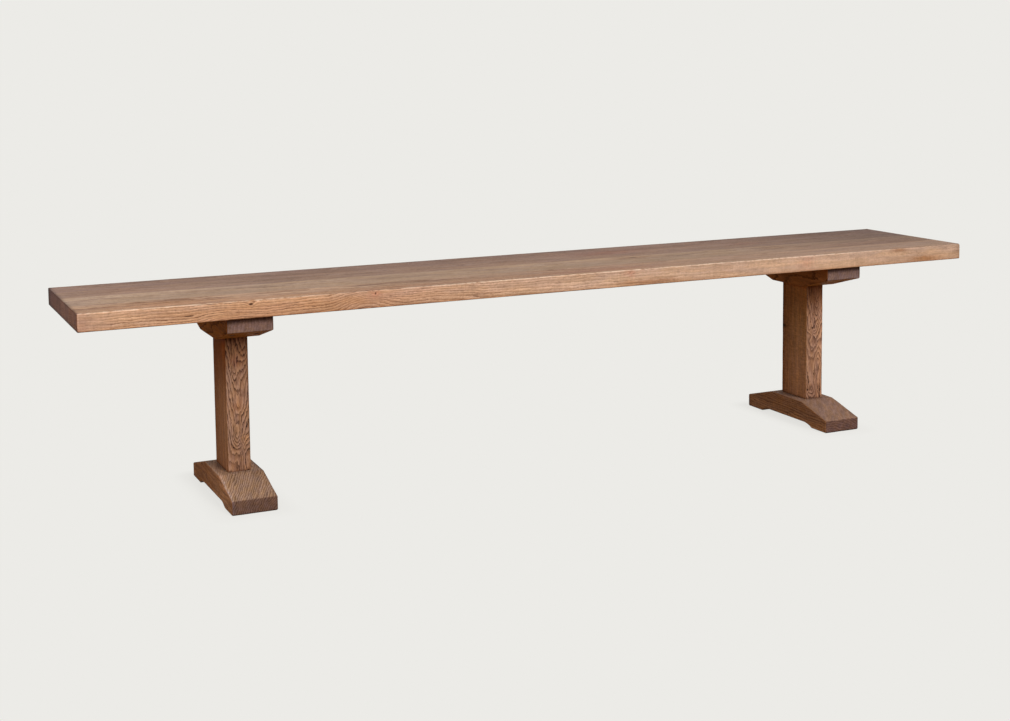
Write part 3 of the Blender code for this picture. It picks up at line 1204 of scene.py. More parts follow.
@dataclass
class Leg:
    """One leg: a foot, a post and a bearer."""

    side: Side
    easing: float = 0.0034
    post_easing: float = 0.0022
    most_worn: float = 1.25
    step: float = 0.006
    flat_beyond_post: float = 0.013
    foot_end_height: float = 0.031
    bearer_end_height: float = 0.031
    pad_length: float = 0.062
    relief_height: float = 0.009
    relief_radius: float = 0.065
    relief_steps: int = 14
    tenon: tuple[float, float] = (0.028, 0.076)
    slot_travel: float = 0.005
    foot_seed_factor: float = 3.0
    bearer_seed_factor: float = 5.0
    post_seed_factor: float = 7.0
    foot: Box = field(init=False)
    post: Box = field(init=False)
    bearer: Box = field(init=False)

    def __post_init__(self) -> None:
        """Read the leg's boxes from the model."""
        parts = ("foot", "post", "bearer")
        self.foot, self.post, self.bearer = (Box.of(f"{self.side.value}_{part}") for part in parts)

    @property
    def flat(self) -> float:
        """The length of a rail's full height, under or over the post."""
        return self.post.size.y + 2 * self.flat_beyond_post

    def screws(self, kind: str) -> dict[str, Box]:
        """The boxes of the leg's screws of one kind, such as foot, by where they stand."""
        start = f"{self.side.value}_{kind}_screw_"
        return {node[len(start):]: Box.of(node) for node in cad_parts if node.startswith(start)}

    def rail(self, part: str, box: Box, corners: Sequence[Corner], seed_factor: float) -> bpy.types.Object:
        """The wood of a foot or a bearer, before it is drilled.

        Args:
            part: The part's name.
            box: Its box.
            corners: Its outline's corners in Y and Z.
            seed_factor: What tells its wear from the other rail's.

        Returns:
            The piece.
        """
        places = stations(box.low.x, box.high.x, (self.easing, self.easing), self.step)
        seed = self.foot.middle.x * seed_factor
        name = f"{self.side.value}_{part}_oak"
        return carried(name, rims(corners, self.step), places, seed, self.most_worn)

    def slope(self, box: Box, end_height: float) -> float:
        """How steeply a rail with this box and this height at its ends slopes beyond its flat stretch."""
        return (box.size.z - end_height) / ((box.size.y - self.flat) / 2)

    def mortise(self, low: float, high: float) -> bpy.types.Object:
        """The tool for a mortise between two heights."""
        x, y = (size / 2 + JOINT_GAP for size in self.tenon)
        corners = [(-x, -y), (x, -y), (x, y), (-x, y)]
        loops = [[Vector((self.foot.middle.x + x, y, z)) for x, y in corners] for z in (low, high)]
        return in_scene("mortise", skin("mortise", loops))

    def foot_corners(self) -> list[Corner]:
        """The foot's outline in Y and Z."""
        low, high = self.foot.low, self.foot.high
        radius, height = self.relief_radius, self.relief_height
        sweep = math.acos(1 - height / radius)
        middle_y, middle_z = low.y + self.pad_length + radius * math.sin(sweep), height - radius
        angles = [sweep * (1 - step / self.relief_steps) for step in range(self.relief_steps + 1)]
        arc = [
            (middle_y - radius * math.sin(angle), middle_z + radius * math.cos(angle)) for angle in angles
        ]
        front = [Corner((low.y, 0.0), self.easing), Corner(arc[0], self.easing / 2)]
        front += [Corner(place) for place in arc[1:]]
        back = [Corner((-corner.place[0], corner.place[1]), corner.radius) for corner in reversed(front)]
        half, end = self.flat / 2, self.foot_end_height
        top = ((high.y, end), (half, high.z), (-half, high.z), (low.y, end))
        return front + back + [Corner(place, self.easing) for place in top]

    def bearer_corners(self) -> list[Corner]:
        """The bearer's outline in Y and Z."""
        low, high = self.bearer.low, self.bearer.high
        half, end = self.flat / 2, high.z - self.bearer_end_height
        return [
            Corner((-half, low.z), self.easing),
            Corner((half, low.z), self.easing),
            Corner((high.y, end), self.easing),
            Corner((high.y, high.z), self.easing / 2),
            Corner((low.y, high.z), self.easing / 2),
            Corner((low.y, end), self.easing),
        ]

    def build_foot(self) -> None:
        """Make the foot."""
        box, floor = self.foot, self.post.low.z
        piece = self.rail("foot", box, self.foot_corners(), self.foot_seed_factor)
        tools = [self.mortise(floor - GLUE_ROOM, box.high.z + OVERRUN)]
        for screw in self.screws("foot").values():
            seat = screw.low.z + HEAD_HEIGHT + JOINT_GAP
            tools.append(bore(screw, -OVERRUN, seat, floor + OVERRUN, screw.size.x / 2 + BORE_ROOM))
        cut(piece, tools)
        extent = Extent(box.low, box.high, self.flat, fall=self.slope(box, self.foot_end_height))
        finished(piece, f"{self.side.value}_foot", FOOT_OAKS[self.side].material(extent))

    def build_bearer(self) -> None:
        """Make the bearer."""
        box, roof = self.bearer, self.post.high.z
        piece = self.rail("bearer", box, self.bearer_corners(), self.bearer_seed_factor)
        tools = [self.mortise(box.low.z - OVERRUN, roof + GLUE_ROOM)]
        above = box.high.z + OVERRUN
        for screw in self.screws("bearer").values():
            seat = screw.high.z - HEAD_HEIGHT - JOINT_GAP
            tools.append(bore(screw, above, seat, roof - OVERRUN, screw.size.x / 2 + BORE_ROOM))
        for where, screw in self.screws("seat").items():
            washer = Box.of(f"{self.side.value}_seat_washer_{where}")
            travel = self.slot_travel if where.startswith("back") else 0.0
            seat, radius = washer.high.z + JOINT_GAP, washer.size.x / 2 + BORE_ROOM
            tools.append(bore(screw, box.low.z - OVERRUN, seat, above, radius, travel))
        cut(piece, tools)
        extent = Extent(box.low, box.high, self.flat, climb=self.slope(box, self.bearer_end_height))
        finished(piece, f"{self.side.value}_bearer", BEARER_OAKS[self.side].material(extent))

    def build_post(self) -> None:
        """Make the post with its tenons."""
        low, high, middle = self.post.low, self.post.high, self.foot.middle.x
        base, top = self.foot.high.z + JOINT_GAP, self.bearer.low.z - JOINT_GAP
        places = [(low.x, low.y), (high.x, low.y), (high.x, high.y), (low.x, high.y)]
        body = rims([Corner(place, self.post_easing) for place in places], self.step)
        share_x, share_y = self.tenon[0] / 2 / (high.x - middle), self.tenon[1] / 2 / high.y
        tenon = [rim.at(1.0, 0.0) for rim in body]
        tenon = [(middle + (place.x - middle) * share_x, place.y * share_y) for place in tenon]
        lower = [[Vector((*place, z)) for place in tenon] for z in (low.z, base)]
        upper = [[Vector((*place, z)) for place in tenon] for z in (top, high.z)]
        count = round((top - base) / self.step)
        loops = []
        for z in (base + (top - base) * step / count for step in range(count + 1)):
            wears = [wear_at(Vector((*rim.base, z)), middle * self.post_seed_factor) for rim in body]
            loops.append([Vector((*rim.at(worn, 0.0), z)) for rim, worn in zip(body, wears)])
        node = f"{self.side.value}_post"
        piece = in_scene(f"{node}_oak", skin(node, [*lower, *loops, *upper]))
        tools = [
            pilot(screw, low.z - OVERRUN, screw.high.z + PILOT_PAST_TIP)
            for screw in self.screws("foot").values()
        ]
        tools += [
            pilot(screw, screw.low.z - PILOT_PAST_TIP, high.z + OVERRUN)
            for screw in self.screws("bearer").values()
        ]
        cut(piece, tools)
        extent = Extent(Vector((low.x, low.y, base)), Vector((high.x, high.y, top)))
        finished(piece, node, POST_OAKS[self.side].material(extent))

    def build(self) -> None:
        """Make the leg's pieces of wood."""
        self.build_foot()
        self.build_post()
        self.build_bearer()


@dataclass
class Seat:
    """The seat: four boards, glued edge to edge."""

    easing: float = 0.002
    left_easing: float = 0.0024
    front_easing: float = 0.0026
    most_worn: float = 1.2
    right_swell: float = 0.9
    right_swell_length: float = 0.006
    step_along: float = 0.011
    step_across: float = 0.010
    spared_ends: float = 0.0015
    seed_factor: float = 40.0

    def stave(self, node: str) -> None:
        """Make one board.

        Args:
            node: Its node.
        """
        box = Box.of(node)
        low, high = box.low, box.high
        whole_low, whole_high = SEAT_BOX
        at_front, at_back = low.y < whole_low.y + JOINT_GAP, high.y > whole_high.y - JOINT_GAP
        corners = [
            Corner((low.y, low.z), self.easing * at_front),
            Corner((high.y, low.z), self.easing * at_back, eased=at_back),
            Corner((high.y, high.z), self.easing * at_back),
            Corner((low.y, high.z), self.front_easing * at_front, eased=at_front),
        ]
        places = stations(low.x, high.x, (self.left_easing, self.easing), self.step_along)

        def swell(x: float) -> float:
            """How much rounder than elsewhere the front board's arrises are, towards its right end."""
            near_right = max(0.0, 1 - (high.x - x) / self.right_swell_length)
            return 1 + self.right_swell * near_right * at_front

        outline = rims(corners, self.step_across)
        seed = low.y * self.seed_factor
        piece = carried(f"{node}_oak", outline, places, seed, self.most_worn, swell)
        screws = [screw for side in Side for screw in Leg(side).screws("seat").values()]
        above = [screw for screw in screws if low.y < screw.middle.y < high.y]
        if above:
            cut(piece, [pilot(screw, low.z - OVERRUN, screw.high.z + PILOT_PAST_TIP) for screw in above])
        extent = Extent(whole_low, whole_high, spared=self.spared_ends)
        finished(piece, node, STAVE_OAKS[node].material(extent))

    def build(self) -> None:
        """Make the boards, from the front to the back."""
        for node in STAVE_OAKS:
            self.stave(node)


SEAT_BOX = (
    Vector((CAD_BOUNDS[0][0], CAD_BOUNDS[0][1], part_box("front_stave")[0].z)),
    Vector(CAD_BOUNDS[1]),
)
DARKER = (0.74, 0.71, 0.70)
DEEPER = (0.55, 0.50, 0.48)
WARMER = (0.90, 0.72, 0.56)
BROWNER = (0.72, 0.56, 0.42)
REDDER = (0.92, 0.74, 0.72)
PALER = (1.22, 1.24, 1.28)
DIM = (0.72, 0.71, 0.70)
SHADED_WARM = (0.80, 0.56, 0.34)
# Painted shade by the way the seat's faces look: on its ends, with the end grain's own colour, and on its
# underside
SEAT_ENDS = (0.655, 0.42, 0.375)
FRONT_ENDS = (0.43, 0.27, 0.222)
SEAT_UNDERSIDE_SHADE = (0.62, 0.50, 0.40)
FRONT_Y, BACK_Y, TOP_Z = -0.1865, 0.1865, 0.452
FAR_LEFT, FAR_RIGHT = -1.1, 1.1
LEFT, RIGHT = -0.75, 0.75
POST_FRONT = -0.052
HALF_POST, HALF_RAIL = 0.025, 0.0495
ALL_OF_IT = 9.0


def on_top(
    x: float, y: float, length: float, width: float, tone: Colour, amount: float = 1.0
) -> StainAndPaintedLight:
    """A stain on the seat's top, with its reach along X and Y."""
    return StainAndPaintedLight((x, y, TOP_Z), (length, width, 0.006), tone, amount)


def on_front(
    x: float,
    z: float,
    length: float,
    height: float,
    tone: Colour,
    amount: float = 1.0,
    ragged: float = 0.03,
) -> StainAndPaintedLight:
    """A stain on the seat's front, with its reach along X and Z."""
    return StainAndPaintedLight((x, FRONT_Y, z), (length, 0.010, height), tone, amount, ragged)


def graded_flanks(tone: Colour, above: Colour, low: float, high: float) -> tuple[Facing, ...]:
    """Painted shade for the faces that look along X, which changes from the low to the high height and
    darkens towards the top, under the bearer and the seat.
    """
    return tuple(Facing(way, tone, above, low, high) for way in ALONG_X)


def dark_side(middle: float, half_width: float) -> StainAndPaintedLight:
    """Painted shade: a dark line down the right arris of a piece with this middle along X."""
    return StainAndPaintedLight((middle + half_width - 0.0015, 0.0, 0.0), (0.0017, ALL_OF_IT, ALL_OF_IT), DIM, 1.0, 0.001)


# Painted light and sheen along the seat's top: darker towards the right end, lighter towards the left end
PAINTED_LIGHT_ALONG_THE_SEAT = (
    StainAndPaintedLight((FAR_RIGHT, 0.0, TOP_Z), (0.50, ALL_OF_IT, ALL_OF_IT), (0.62, 0.61, 0.64)),
    StainAndPaintedLight((FAR_LEFT, 0.0, TOP_Z), (0.35, ALL_OF_IT, ALL_OF_IT), PALER, 0.8),
)
# Painted shade along the rounded lower and upper arrises of the seat's left end
SHADE_ROUND_THE_END = (
    StainAndPaintedLight((FAR_LEFT, 0.0, 0.4130), (0.0040, ALL_OF_IT, 0.0062), (0.22, 0.16, 0.15), 1.0, 0.001),
    StainAndPaintedLight((FAR_LEFT, 0.0, TOP_Z), (0.0050, ALL_OF_IT, 0.0036), (0.62, 0.60, 0.62), 1.0, 0.001),
)
UNWORN_END = (Spot((FAR_LEFT, 0.0, TOP_Z), (0.006, ALL_OF_IT, 0.010), 1.3),)
# Painted light on the back half of the top: a little darker left of the middle, a little lighter right of it
PAINTED_LIGHT_HALF_WAY = (
    StainAndPaintedLight((-0.270, 0.10, TOP_Z), (0.220, 0.090, ALL_OF_IT), (0.955, 0.94, 0.94)),
    StainAndPaintedLight((0.270, 0.10, TOP_Z), (0.200, 0.090, ALL_OF_IT), (1.075, 1.06, 1.065)),
)
INNER_OAK = Oak(
    name="mid_front_stave_oak",
    grain=Grain.ALONG_X,
    tones=Tones(
        light=srgb(176, 146, 120),
        middle=srgb(146, 114, 90),
        dark=srgb(106, 76, 58),
        pore=srgb(66, 44, 34),
        worn=srgb(176, 146, 122),
        facing=facings(flanks=SEAT_ENDS, under=SEAT_UNDERSIDE_SHADE),
    ),
    tint=(1.09, 1.15, 1.22),
    pith=Pith(0.2, -0.03, 0.40, -0.008, 0.014),
    seed=2.9,
    rays=0.30,
    ring_width=0.0050,
    ring_strength=0.42,
    mottle=0.24,
    unworn=UNWORN_END,
    hue_patch=Figure(0.12, 0.022, 2.0, 0.6),
    knots=(
        Spot((-0.545, -0.020, TOP_Z), (0.0140, 0.0040, 0.004), 0.7),
        Spot((0.243, -0.008, TOP_Z), (0.0150, 0.0060, 0.004), 0.7),
        Spot((0.457, -0.003, TOP_Z), (0.0100, 0.0040, 0.004), 0.6),
    ),
    stains_and_painted_light=(
        *PAINTED_LIGHT_ALONG_THE_SEAT,
        *SHADE_ROUND_THE_END,
        on_top(-0.650, -0.030, 0.050, 0.010, DARKER),
        on_top(-0.380, -0.035, 0.080, 0.012, DARKER),
        on_top(-0.160, -0.025, 0.060, 0.012, DARKER),
        on_top(0.240, -0.008, 0.060, 0.018, BROWNER, 0.7),
        on_top(0.640, -0.010, 0.040, 0.014, BROWNER, 0.6),
        on_top(-0.750, 0.008, 0.260, 0.008, PALER, 0.7),
        on_top(0.900, -0.060, 0.250, 0.050, REDDER, 0.6),
    ),
    checks=0.8,
    gloss=0.05,
)
STAVE_OAKS = {
    "front_stave": Oak(
        name="front_stave_oak",
        grain=Grain.ALONG_X,
        tones=Tones(
            light=srgb(206, 164, 130),
            middle=srgb(170, 128, 96),
            dark=srgb(118, 76, 52),
            pore=srgb(70, 40, 28),
            worn=srgb(242, 214, 188),
            # Painted light and shade: the front board's ends, underside and top are toned darker than its
            # front face
            facing=facings(flanks=FRONT_ENDS, under=SEAT_UNDERSIDE_SHADE, top=(0.565, 0.55, 0.54)),
        ),
        tint=(1.37, 1.51, 1.75),
        pith=Pith(0.0, -0.10, 0.36, 0.012, 0.016),
        seed=1.3,
        rays=0.30,
        ring_width=0.0044,
        ring_strength=0.92,
        wander=0.60,
        mottle=0.22,
        streaks=0.46,
        bands=0.20,
        hues=0.5,
        hue_patch=Figure(0.10, 0.016, 2.0, 0.6),
        broken=0.20,
        flecks=0.16,
        calm=(
            Spot((0.75, FRONT_Y, 0.430), (0.75, 0.200, 0.200), 0.90),
            Spot((FAR_LEFT, FRONT_Y, 0.430), (0.060, 0.020, 0.030), 0.70),
        ),
        unworn=(
            Spot((-0.520, FRONT_Y, TOP_Z), (0.130, 0.030, 0.030), 0.9),
            Spot((0.980, FRONT_Y, TOP_Z), (0.200, 0.030, 0.030), 0.95),
            Spot((FAR_LEFT, -0.120, TOP_Z), (0.006, 0.058, 0.010), 1.3),
        ),
        swirls=(
            Spot((-0.510, FRONT_Y, 0.425), (0.050, 0.060, 0.030), -3.5),
            Spot((-0.390, FRONT_Y, 0.425), (0.150, 0.060, 0.030), -2.0),
            Spot((-0.810, FRONT_Y, 0.412), (0.035, 0.040, 0.014), -2.5),
            Spot((-0.483, FRONT_Y, 0.446), (0.010, 0.020, 0.010), 1.6),
            Spot((-0.752, FRONT_Y, 0.444), (0.012, 0.020, 0.006), 1.0),
        ),
        knots=(
            Spot((-0.752, FRONT_Y, 0.4436), (0.0056, 0.006, 0.0025), 1.0),
            Spot((-0.482, FRONT_Y, 0.4450), (0.0028, 0.006, 0.0042), 0.7),
            Spot((-0.879, FRONT_Y, 0.4290), (0.0130, 0.004, 0.0013), 0.9),
            Spot((0.136, FRONT_Y, 0.4460), (0.0030, 0.004, 0.0025), 0.5),
            Spot((0.968, FRONT_Y, 0.4365), (0.0030, 0.004, 0.0016), 0.6),
            Spot((0.420, -0.1440, TOP_Z), (0.0120, 0.0016, 0.004), 0.8),
        ),
        stains_and_painted_light=(
            StainAndPaintedLight((-0.68, FRONT_Y, 0.430), (0.42, 0.018, 0.030), (0.86, 0.70, 0.56)),
            StainAndPaintedLight((-0.42, FRONT_Y, 0.430), (0.12, 0.018, 0.030), (0.93, 0.92, 0.96)),
            StainAndPaintedLight((-1.100, FRONT_Y, 0.430), (0.026, 0.020, 0.030), (0.88, 0.82, 0.86)),
            # Painted highlight down the rounded front left corner
            StainAndPaintedLight((-1.0965, FRONT_Y, 0.434), (0.0020, 0.006, 0.030), (1.22, 1.24, 1.28), 1.0, 0.002),
            on_front(-0.482, 0.446, 0.012, 0.008, REDDER),
            on_front(0.136, 0.446, 0.014, 0.008, REDDER),
            on_front(-0.235, 0.425, 0.035, 0.0030, DEEPER, 0.9, 0.010),
            # Painted shade along the front's rounded lower arris
            StainAndPaintedLight((0.0, FRONT_Y, 0.4130), (ALL_OF_IT, 0.012, 0.0050), BROWNER, 1.0, 0.004),
            on_front(0.190, 0.4215, 0.090, 0.0055, BROWNER, 0.9, 0.012),
            on_front(0.625, 0.436, 0.022, 0.016, REDDER, 0.6),
            on_front(0.907, 0.4485, 0.028, 0.0050, BROWNER, 0.9, 0.012),
            on_front(0.985, 0.4225, 0.055, 0.0070, BROWNER, 1.0, 0.012),
            StainAndPaintedLight((FAR_RIGHT, FRONT_Y, 0.433), (0.016, 0.020, 0.030), DARKER),
            StainAndPaintedLight((1.000, FRONT_Y, 0.430), (0.300, 0.018, 0.030), (0.95, 0.94, 0.92)),
            # Painted light and sheen on the front board's top: lighter towards the left end, darker towards
            # the right end
            StainAndPaintedLight((-0.880, -0.140, TOP_Z), (0.480, 0.060, 0.010), (1.24, 1.27, 1.27)),
            StainAndPaintedLight((FAR_RIGHT, -0.140, TOP_Z), (0.700, 0.060, 0.010), (0.86, 0.91, 1.00)),
            on_top(-0.930, -0.140, 0.150, 0.034, WARMER, 0.9),
            on_top(-0.310, -0.130, 0.130, 0.034, DARKER, 0.8),
            on_top(-0.450, -0.160, 0.500, 0.016, WARMER, 0.5),
            *SHADE_ROUND_THE_END,
            on_top(0.080, -0.150, 0.160, 0.030, REDDER, 0.7),
        ),
        wear_width=0.0030,
        wear=0.70,
        gloss=0.05,
    ),
    "mid_front_stave": INNER_OAK,
    "mid_back_stave": replace(
        INNER_OAK,
        name="mid_back_stave_oak",
        tones=Tones(
            light=srgb(162, 130, 108),
            middle=srgb(134, 102, 82),
            dark=srgb(98, 70, 56),
            pore=srgb(62, 42, 34),
            worn=srgb(164, 134, 114),
            facing=facings(flanks=SEAT_ENDS, under=SEAT_UNDERSIDE_SHADE),
        ),
        tint=(1.01, 1.07, 1.16),
        pith=Pith(-0.3, 0.07, 0.50, 0.010, -0.010),
        seed=4.2,
        ring_width=0.0046,
        knots=(
            Spot((-0.595, 0.047, TOP_Z), (0.0060, 0.0040, 0.004), 0.6),
            Spot((0.307, 0.050, TOP_Z), (0.0120, 0.0030, 0.004), 0.6),
        ),
        stains_and_painted_light=(
            *PAINTED_LIGHT_ALONG_THE_SEAT,
            *PAINTED_LIGHT_HALF_WAY,
            *SHADE_ROUND_THE_END,
            on_top(-0.630, 0.080, 0.110, 0.030, DARKER, 0.8),
            on_top(0.220, 0.090, 0.090, 0.025, REDDER),
            on_top(0.620, 0.080, 0.050, 0.020, REDDER, 0.8),
            on_top(-0.960, 0.080, 0.090, 0.040, WARMER, 0.4),
        ),
        checks=0.0,
    ),
    "back_stave": replace(
        INNER_OAK,
        name="back_stave_oak",
        tones=Tones(
            light=srgb(156, 124, 104),
            middle=srgb(130, 98, 80),
            dark=srgb(94, 68, 55),
            pore=srgb(60, 41, 34),
            worn=srgb(150, 122, 104),
            facing=facings(flanks=SEAT_ENDS, under=SEAT_UNDERSIDE_SHADE),
        ),
        tint=(0.96, 1.01, 1.10),
        pith=Pith(0.1, 0.16, 0.38, 0.006, 0.012),
        seed=5.7,
        ring_width=0.0044,
        knots=(),
        stains_and_painted_light=(
            *PAINTED_LIGHT_ALONG_THE_SEAT,
            *PAINTED_LIGHT_HALF_WAY,
            *SHADE_ROUND_THE_END,
            on_top(-0.600, 0.120, 0.120, 0.030, DARKER, 0.7),
            on_top(0.250, 0.110, 0.110, 0.020, REDDER, 0.9),
            # Painted shade along the back arris of the top, and down the back corner of the left end
            StainAndPaintedLight((0.0, BACK_Y, TOP_Z), (ALL_OF_IT, 0.012, 0.012), DARKER, 1.0, 0.010),
            StainAndPaintedLight((FAR_LEFT, BACK_Y, 0.433), (0.006, 0.028, 0.060), (0.27, 0.23, 0.22), 1.0, 0.004),
        ),
        checks=0.0,
    ),
}
POST_TONES = Tones(
    light=srgb(206, 156, 120),
    middle=srgb(166, 118, 86),
    dark=srgb(72, 46, 38),
    pore=srgb(56, 33, 24),
    worn=srgb(190, 144, 112),
)
RAIL_TONES = Tones(
    light=srgb(196, 148, 116),
    middle=srgb(160, 114, 84),
    dark=srgb(84, 54, 40),
    pore=srgb(56, 33, 24),
    worn=srgb(196, 154, 122),
)
# Painted shade under the seat, painted shadow under the bearer, and painted shade where a post meets its foot
SHADE_UNDER_THE_SEAT = StainAndPaintedLight((0.0, 0.0, 0.375), (ALL_OF_IT, ALL_OF_IT, 0.075), SHADED_WARM)
SHADOW_UNDER_THE_BEARER = StainAndPaintedLight((0.0, 0.0, 0.358), (ALL_OF_IT, ALL_OF_IT, 0.017), (0.42, 0.20, 0.04), 1.0, 0.004)
SHADE_OVER_THE_FOOT = StainAndPaintedLight((0.0, 0.0, 0.060), (ALL_OF_IT, ALL_OF_IT, 0.0035), DEEPER, 1.0, 0.002)
# The posts' flanks are toned by painted shade that deepens towards the top
POST_OAKS = {
    Side.LEFT: Oak(
        name="left_post_oak",
        grain=Grain.ALONG_Z,
        tones=replace(
            POST_TONES, facing=graded_flanks((1.33, 1.10, 0.85), (0.76, 0.360, 0.040), 0.17, 0.355)
        ),
        tint=(0.765, 0.77, 0.83),
        pith=Pith(0.20, LEFT + 0.001, POST_FRONT - 0.046, 0.0, 0.115),
        seed=6.4,
        ring_width=0.0036,
        ring_strength=1.30,
        wander=0.90,
        hairy=0.6,
        wear=0.15,
        bands=0.25,
        hues=1.0,
        rays=0.16,
        broken=0.45,
        early_share=0.36,
        gloss=0.008,
        late_light=1.1,
        faces=(0.25, 1.0, 1.0),
        calm=(
            Spot((LEFT + 0.002, POST_FRONT, 0.214), (0.013, 0.020, 0.022), 0.75),
            Spot((LEFT - 0.012, POST_FRONT, 0.080), (0.014, 0.020, 0.026), 0.70),
        ),
        swirls=(
            Spot((LEFT + 0.017, POST_FRONT, 0.336), (0.011, 0.030, 0.048), -3.0),
            Spot((LEFT - 0.006, POST_FRONT, 0.290), (0.005, 0.030, 0.030), -1.6),
            Spot((LEFT + 0.002, POST_FRONT, 0.206), (0.013, 0.030, 0.026), -1.6),
            Spot((LEFT - 0.002, POST_FRONT, 0.142), (0.011, 0.030, 0.030), -2.8),
            Spot((LEFT + 0.017, POST_FRONT, 0.090), (0.012, 0.030, 0.040), 2.7),
        ),
        stains_and_painted_light=(
            SHADOW_UNDER_THE_BEARER,
            SHADE_OVER_THE_FOOT,
            # Painted shade on the flank towards its back arris
            StainAndPaintedLight((LEFT, 0.052, 0.200), (ALL_OF_IT, 0.036, ALL_OF_IT), (0.70, 0.61, 0.50)),
            StainAndPaintedLight((LEFT, 0.052, 0.200), (ALL_OF_IT, 0.008, ALL_OF_IT), (0.76, 0.70, 0.52), 1.0, 0.002),
            dark_side(LEFT, HALF_POST),
            # Painted light on the flank near its front arris
            StainAndPaintedLight((LEFT - HALF_POST, -0.036, 0.200), (0.010, 0.016, ALL_OF_IT), (1.17, 1.20, 1.22)),
            # Painted light at the top of the front face, where the bearer's shadow falls
            StainAndPaintedLight((LEFT, POST_FRONT, 0.325), (0.060, 0.030, 0.028), (1.48, 1.30, 1.12)),
            StainAndPaintedLight((LEFT, POST_FRONT, 0.135), (0.060, 0.030, 0.030), (0.90, 0.92, 0.92)),
            StainAndPaintedLight((LEFT, POST_FRONT, 0.050), (0.060, 0.080, 0.070), DARKER),
            StainAndPaintedLight((LEFT + 0.016, POST_FRONT, 0.132), (0.007, 0.010, 0.010), (1.30, 1.20, 0.98)),
            StainAndPaintedLight((LEFT + 0.002, POST_FRONT, 0.212), (0.012, 0.010, 0.022), (1.10, 1.06, 1.00)),
            StainAndPaintedLight((LEFT + 0.011, POST_FRONT, 0.228), (0.007, 0.010, 0.009), DEEPER, 0.9),
            StainAndPaintedLight((LEFT + 0.017, POST_FRONT, 0.280), (0.009, 0.010, 0.020), DARKER, 0.7),
            StainAndPaintedLight((LEFT - 0.005, POST_FRONT, 0.200), (0.006, 0.010, 0.008), BROWNER, 0.8),
            StainAndPaintedLight((LEFT - 0.004, POST_FRONT, 0.300), (0.009, 0.010, 0.012), REDDER, 0.8),
        ),
    ),
    Side.RIGHT: Oak(
        name="right_post_oak",
        grain=Grain.ALONG_Z,
        tones=replace(
            POST_TONES, facing=graded_flanks((1.53, 1.33, 1.03), (1.31, 1.07, 0.60), 0.10, 0.34)
        ),
        tint=(0.86, 0.86, 0.94),
        pith=Pith(0.20, RIGHT + 0.004, POST_FRONT - 0.060, 0.0, 0.13),
        seed=7.9,
        ring_width=0.0056,
        ring_strength=1.05,
        early_share=0.44,
        wander=0.80,
        hairy=0.6,
        wear=0.15,
        bands=0.32,
        hues=0.8,
        rays=0.28,
        broken=0.55,
        late_light=0.6,
        faces=(0.25, 1.0, 1.0),
        swirls=(
            Spot((RIGHT - 0.005, POST_FRONT, 0.243), (0.008, 0.020, 0.014), -1.8),
            Spot((RIGHT - 0.012, POST_FRONT, 0.225), (0.010, 0.020, 0.010), 1.4),
            Spot((RIGHT + 0.006, POST_FRONT, 0.330), (0.013, 0.030, 0.080), -4.2),
            Spot((RIGHT + 0.013, POST_FRONT, 0.130), (0.009, 0.030, 0.060), 3.2),
            Spot((RIGHT - 0.010, POST_FRONT, 0.085), (0.012, 0.030, 0.014), -1.4),
        ),
        stains_and_painted_light=(
            SHADE_UNDER_THE_SEAT,
            SHADOW_UNDER_THE_BEARER,
            SHADE_OVER_THE_FOOT,
            # Painted shade on the flank towards its back arris
            StainAndPaintedLight((RIGHT, 0.052, 0.200), (ALL_OF_IT, 0.040, ALL_OF_IT), (0.62, 0.52, 0.42)),
            StainAndPaintedLight((RIGHT, 0.052, 0.200), (ALL_OF_IT, 0.0065, ALL_OF_IT), (0.34, 0.22, 0.12), 1.0, 0.001),
            dark_side(RIGHT, HALF_POST),
            # Painted light on the flank near its front arris
            StainAndPaintedLight((RIGHT - HALF_POST, -0.030, 0.180), (0.010, 0.016, 0.110), (1.08, 1.08, 1.08)),
            StainAndPaintedLight((RIGHT - HALF_POST, 0.0, 0.220), (0.006, ALL_OF_IT, 0.080), (0.93, 0.94, 0.96)),
            StainAndPaintedLight(
                (RIGHT - HALF_POST, 0.0, 0.352), (0.003, ALL_OF_IT, 0.017), (1.80, 2.30, 3.00), 1.0, 0.004
            ),
            # Painted light at the top of the front face, where the bearer's shadow falls
            StainAndPaintedLight((RIGHT, POST_FRONT, 0.320), (0.060, 0.010, 0.018), (1.20, 1.14, 1.06)),
            StainAndPaintedLight(
                (RIGHT - HALF_POST, 0.050, 0.236), (0.010, 0.018, 0.0045), (0.14, 0.11, 0.09), 1.0, 0.004
            ),
            StainAndPaintedLight((RIGHT, POST_FRONT, 0.050), (0.060, 0.080, 0.085), DARKER, 0.9),
            StainAndPaintedLight((RIGHT + 0.001, POST_FRONT, 0.300), (0.006, 0.010, 0.028), DEEPER, 0.8),
            # Painted shadow under the bearer
            StainAndPaintedLight((RIGHT - 0.008, POST_FRONT, 0.340), (0.008, 0.010, 0.010), DEEPER, 0.3),
            StainAndPaintedLight((RIGHT + 0.022, POST_FRONT, 0.338), (0.005, 0.010, 0.020), DEEPER, 0.4),
            StainAndPaintedLight((RIGHT - 0.014, POST_FRONT, 0.270), (0.008, 0.010, 0.030), PALER, 0.8),
            StainAndPaintedLight((RIGHT - 0.002, POST_FRONT, 0.203), (0.005, 0.010, 0.008), DEEPER, 0.8),
            StainAndPaintedLight((RIGHT + 0.016, POST_FRONT, 0.105), (0.004, 0.010, 0.025), PALER, 0.8),
        ),
        knots=(
            Spot((RIGHT - 0.006, POST_FRONT, 0.243), (0.0028, 0.004, 0.0030)),
            Spot((RIGHT - 0.020, POST_FRONT, 0.084), (0.0030, 0.004, 0.0034)),
        ),
    ),
}
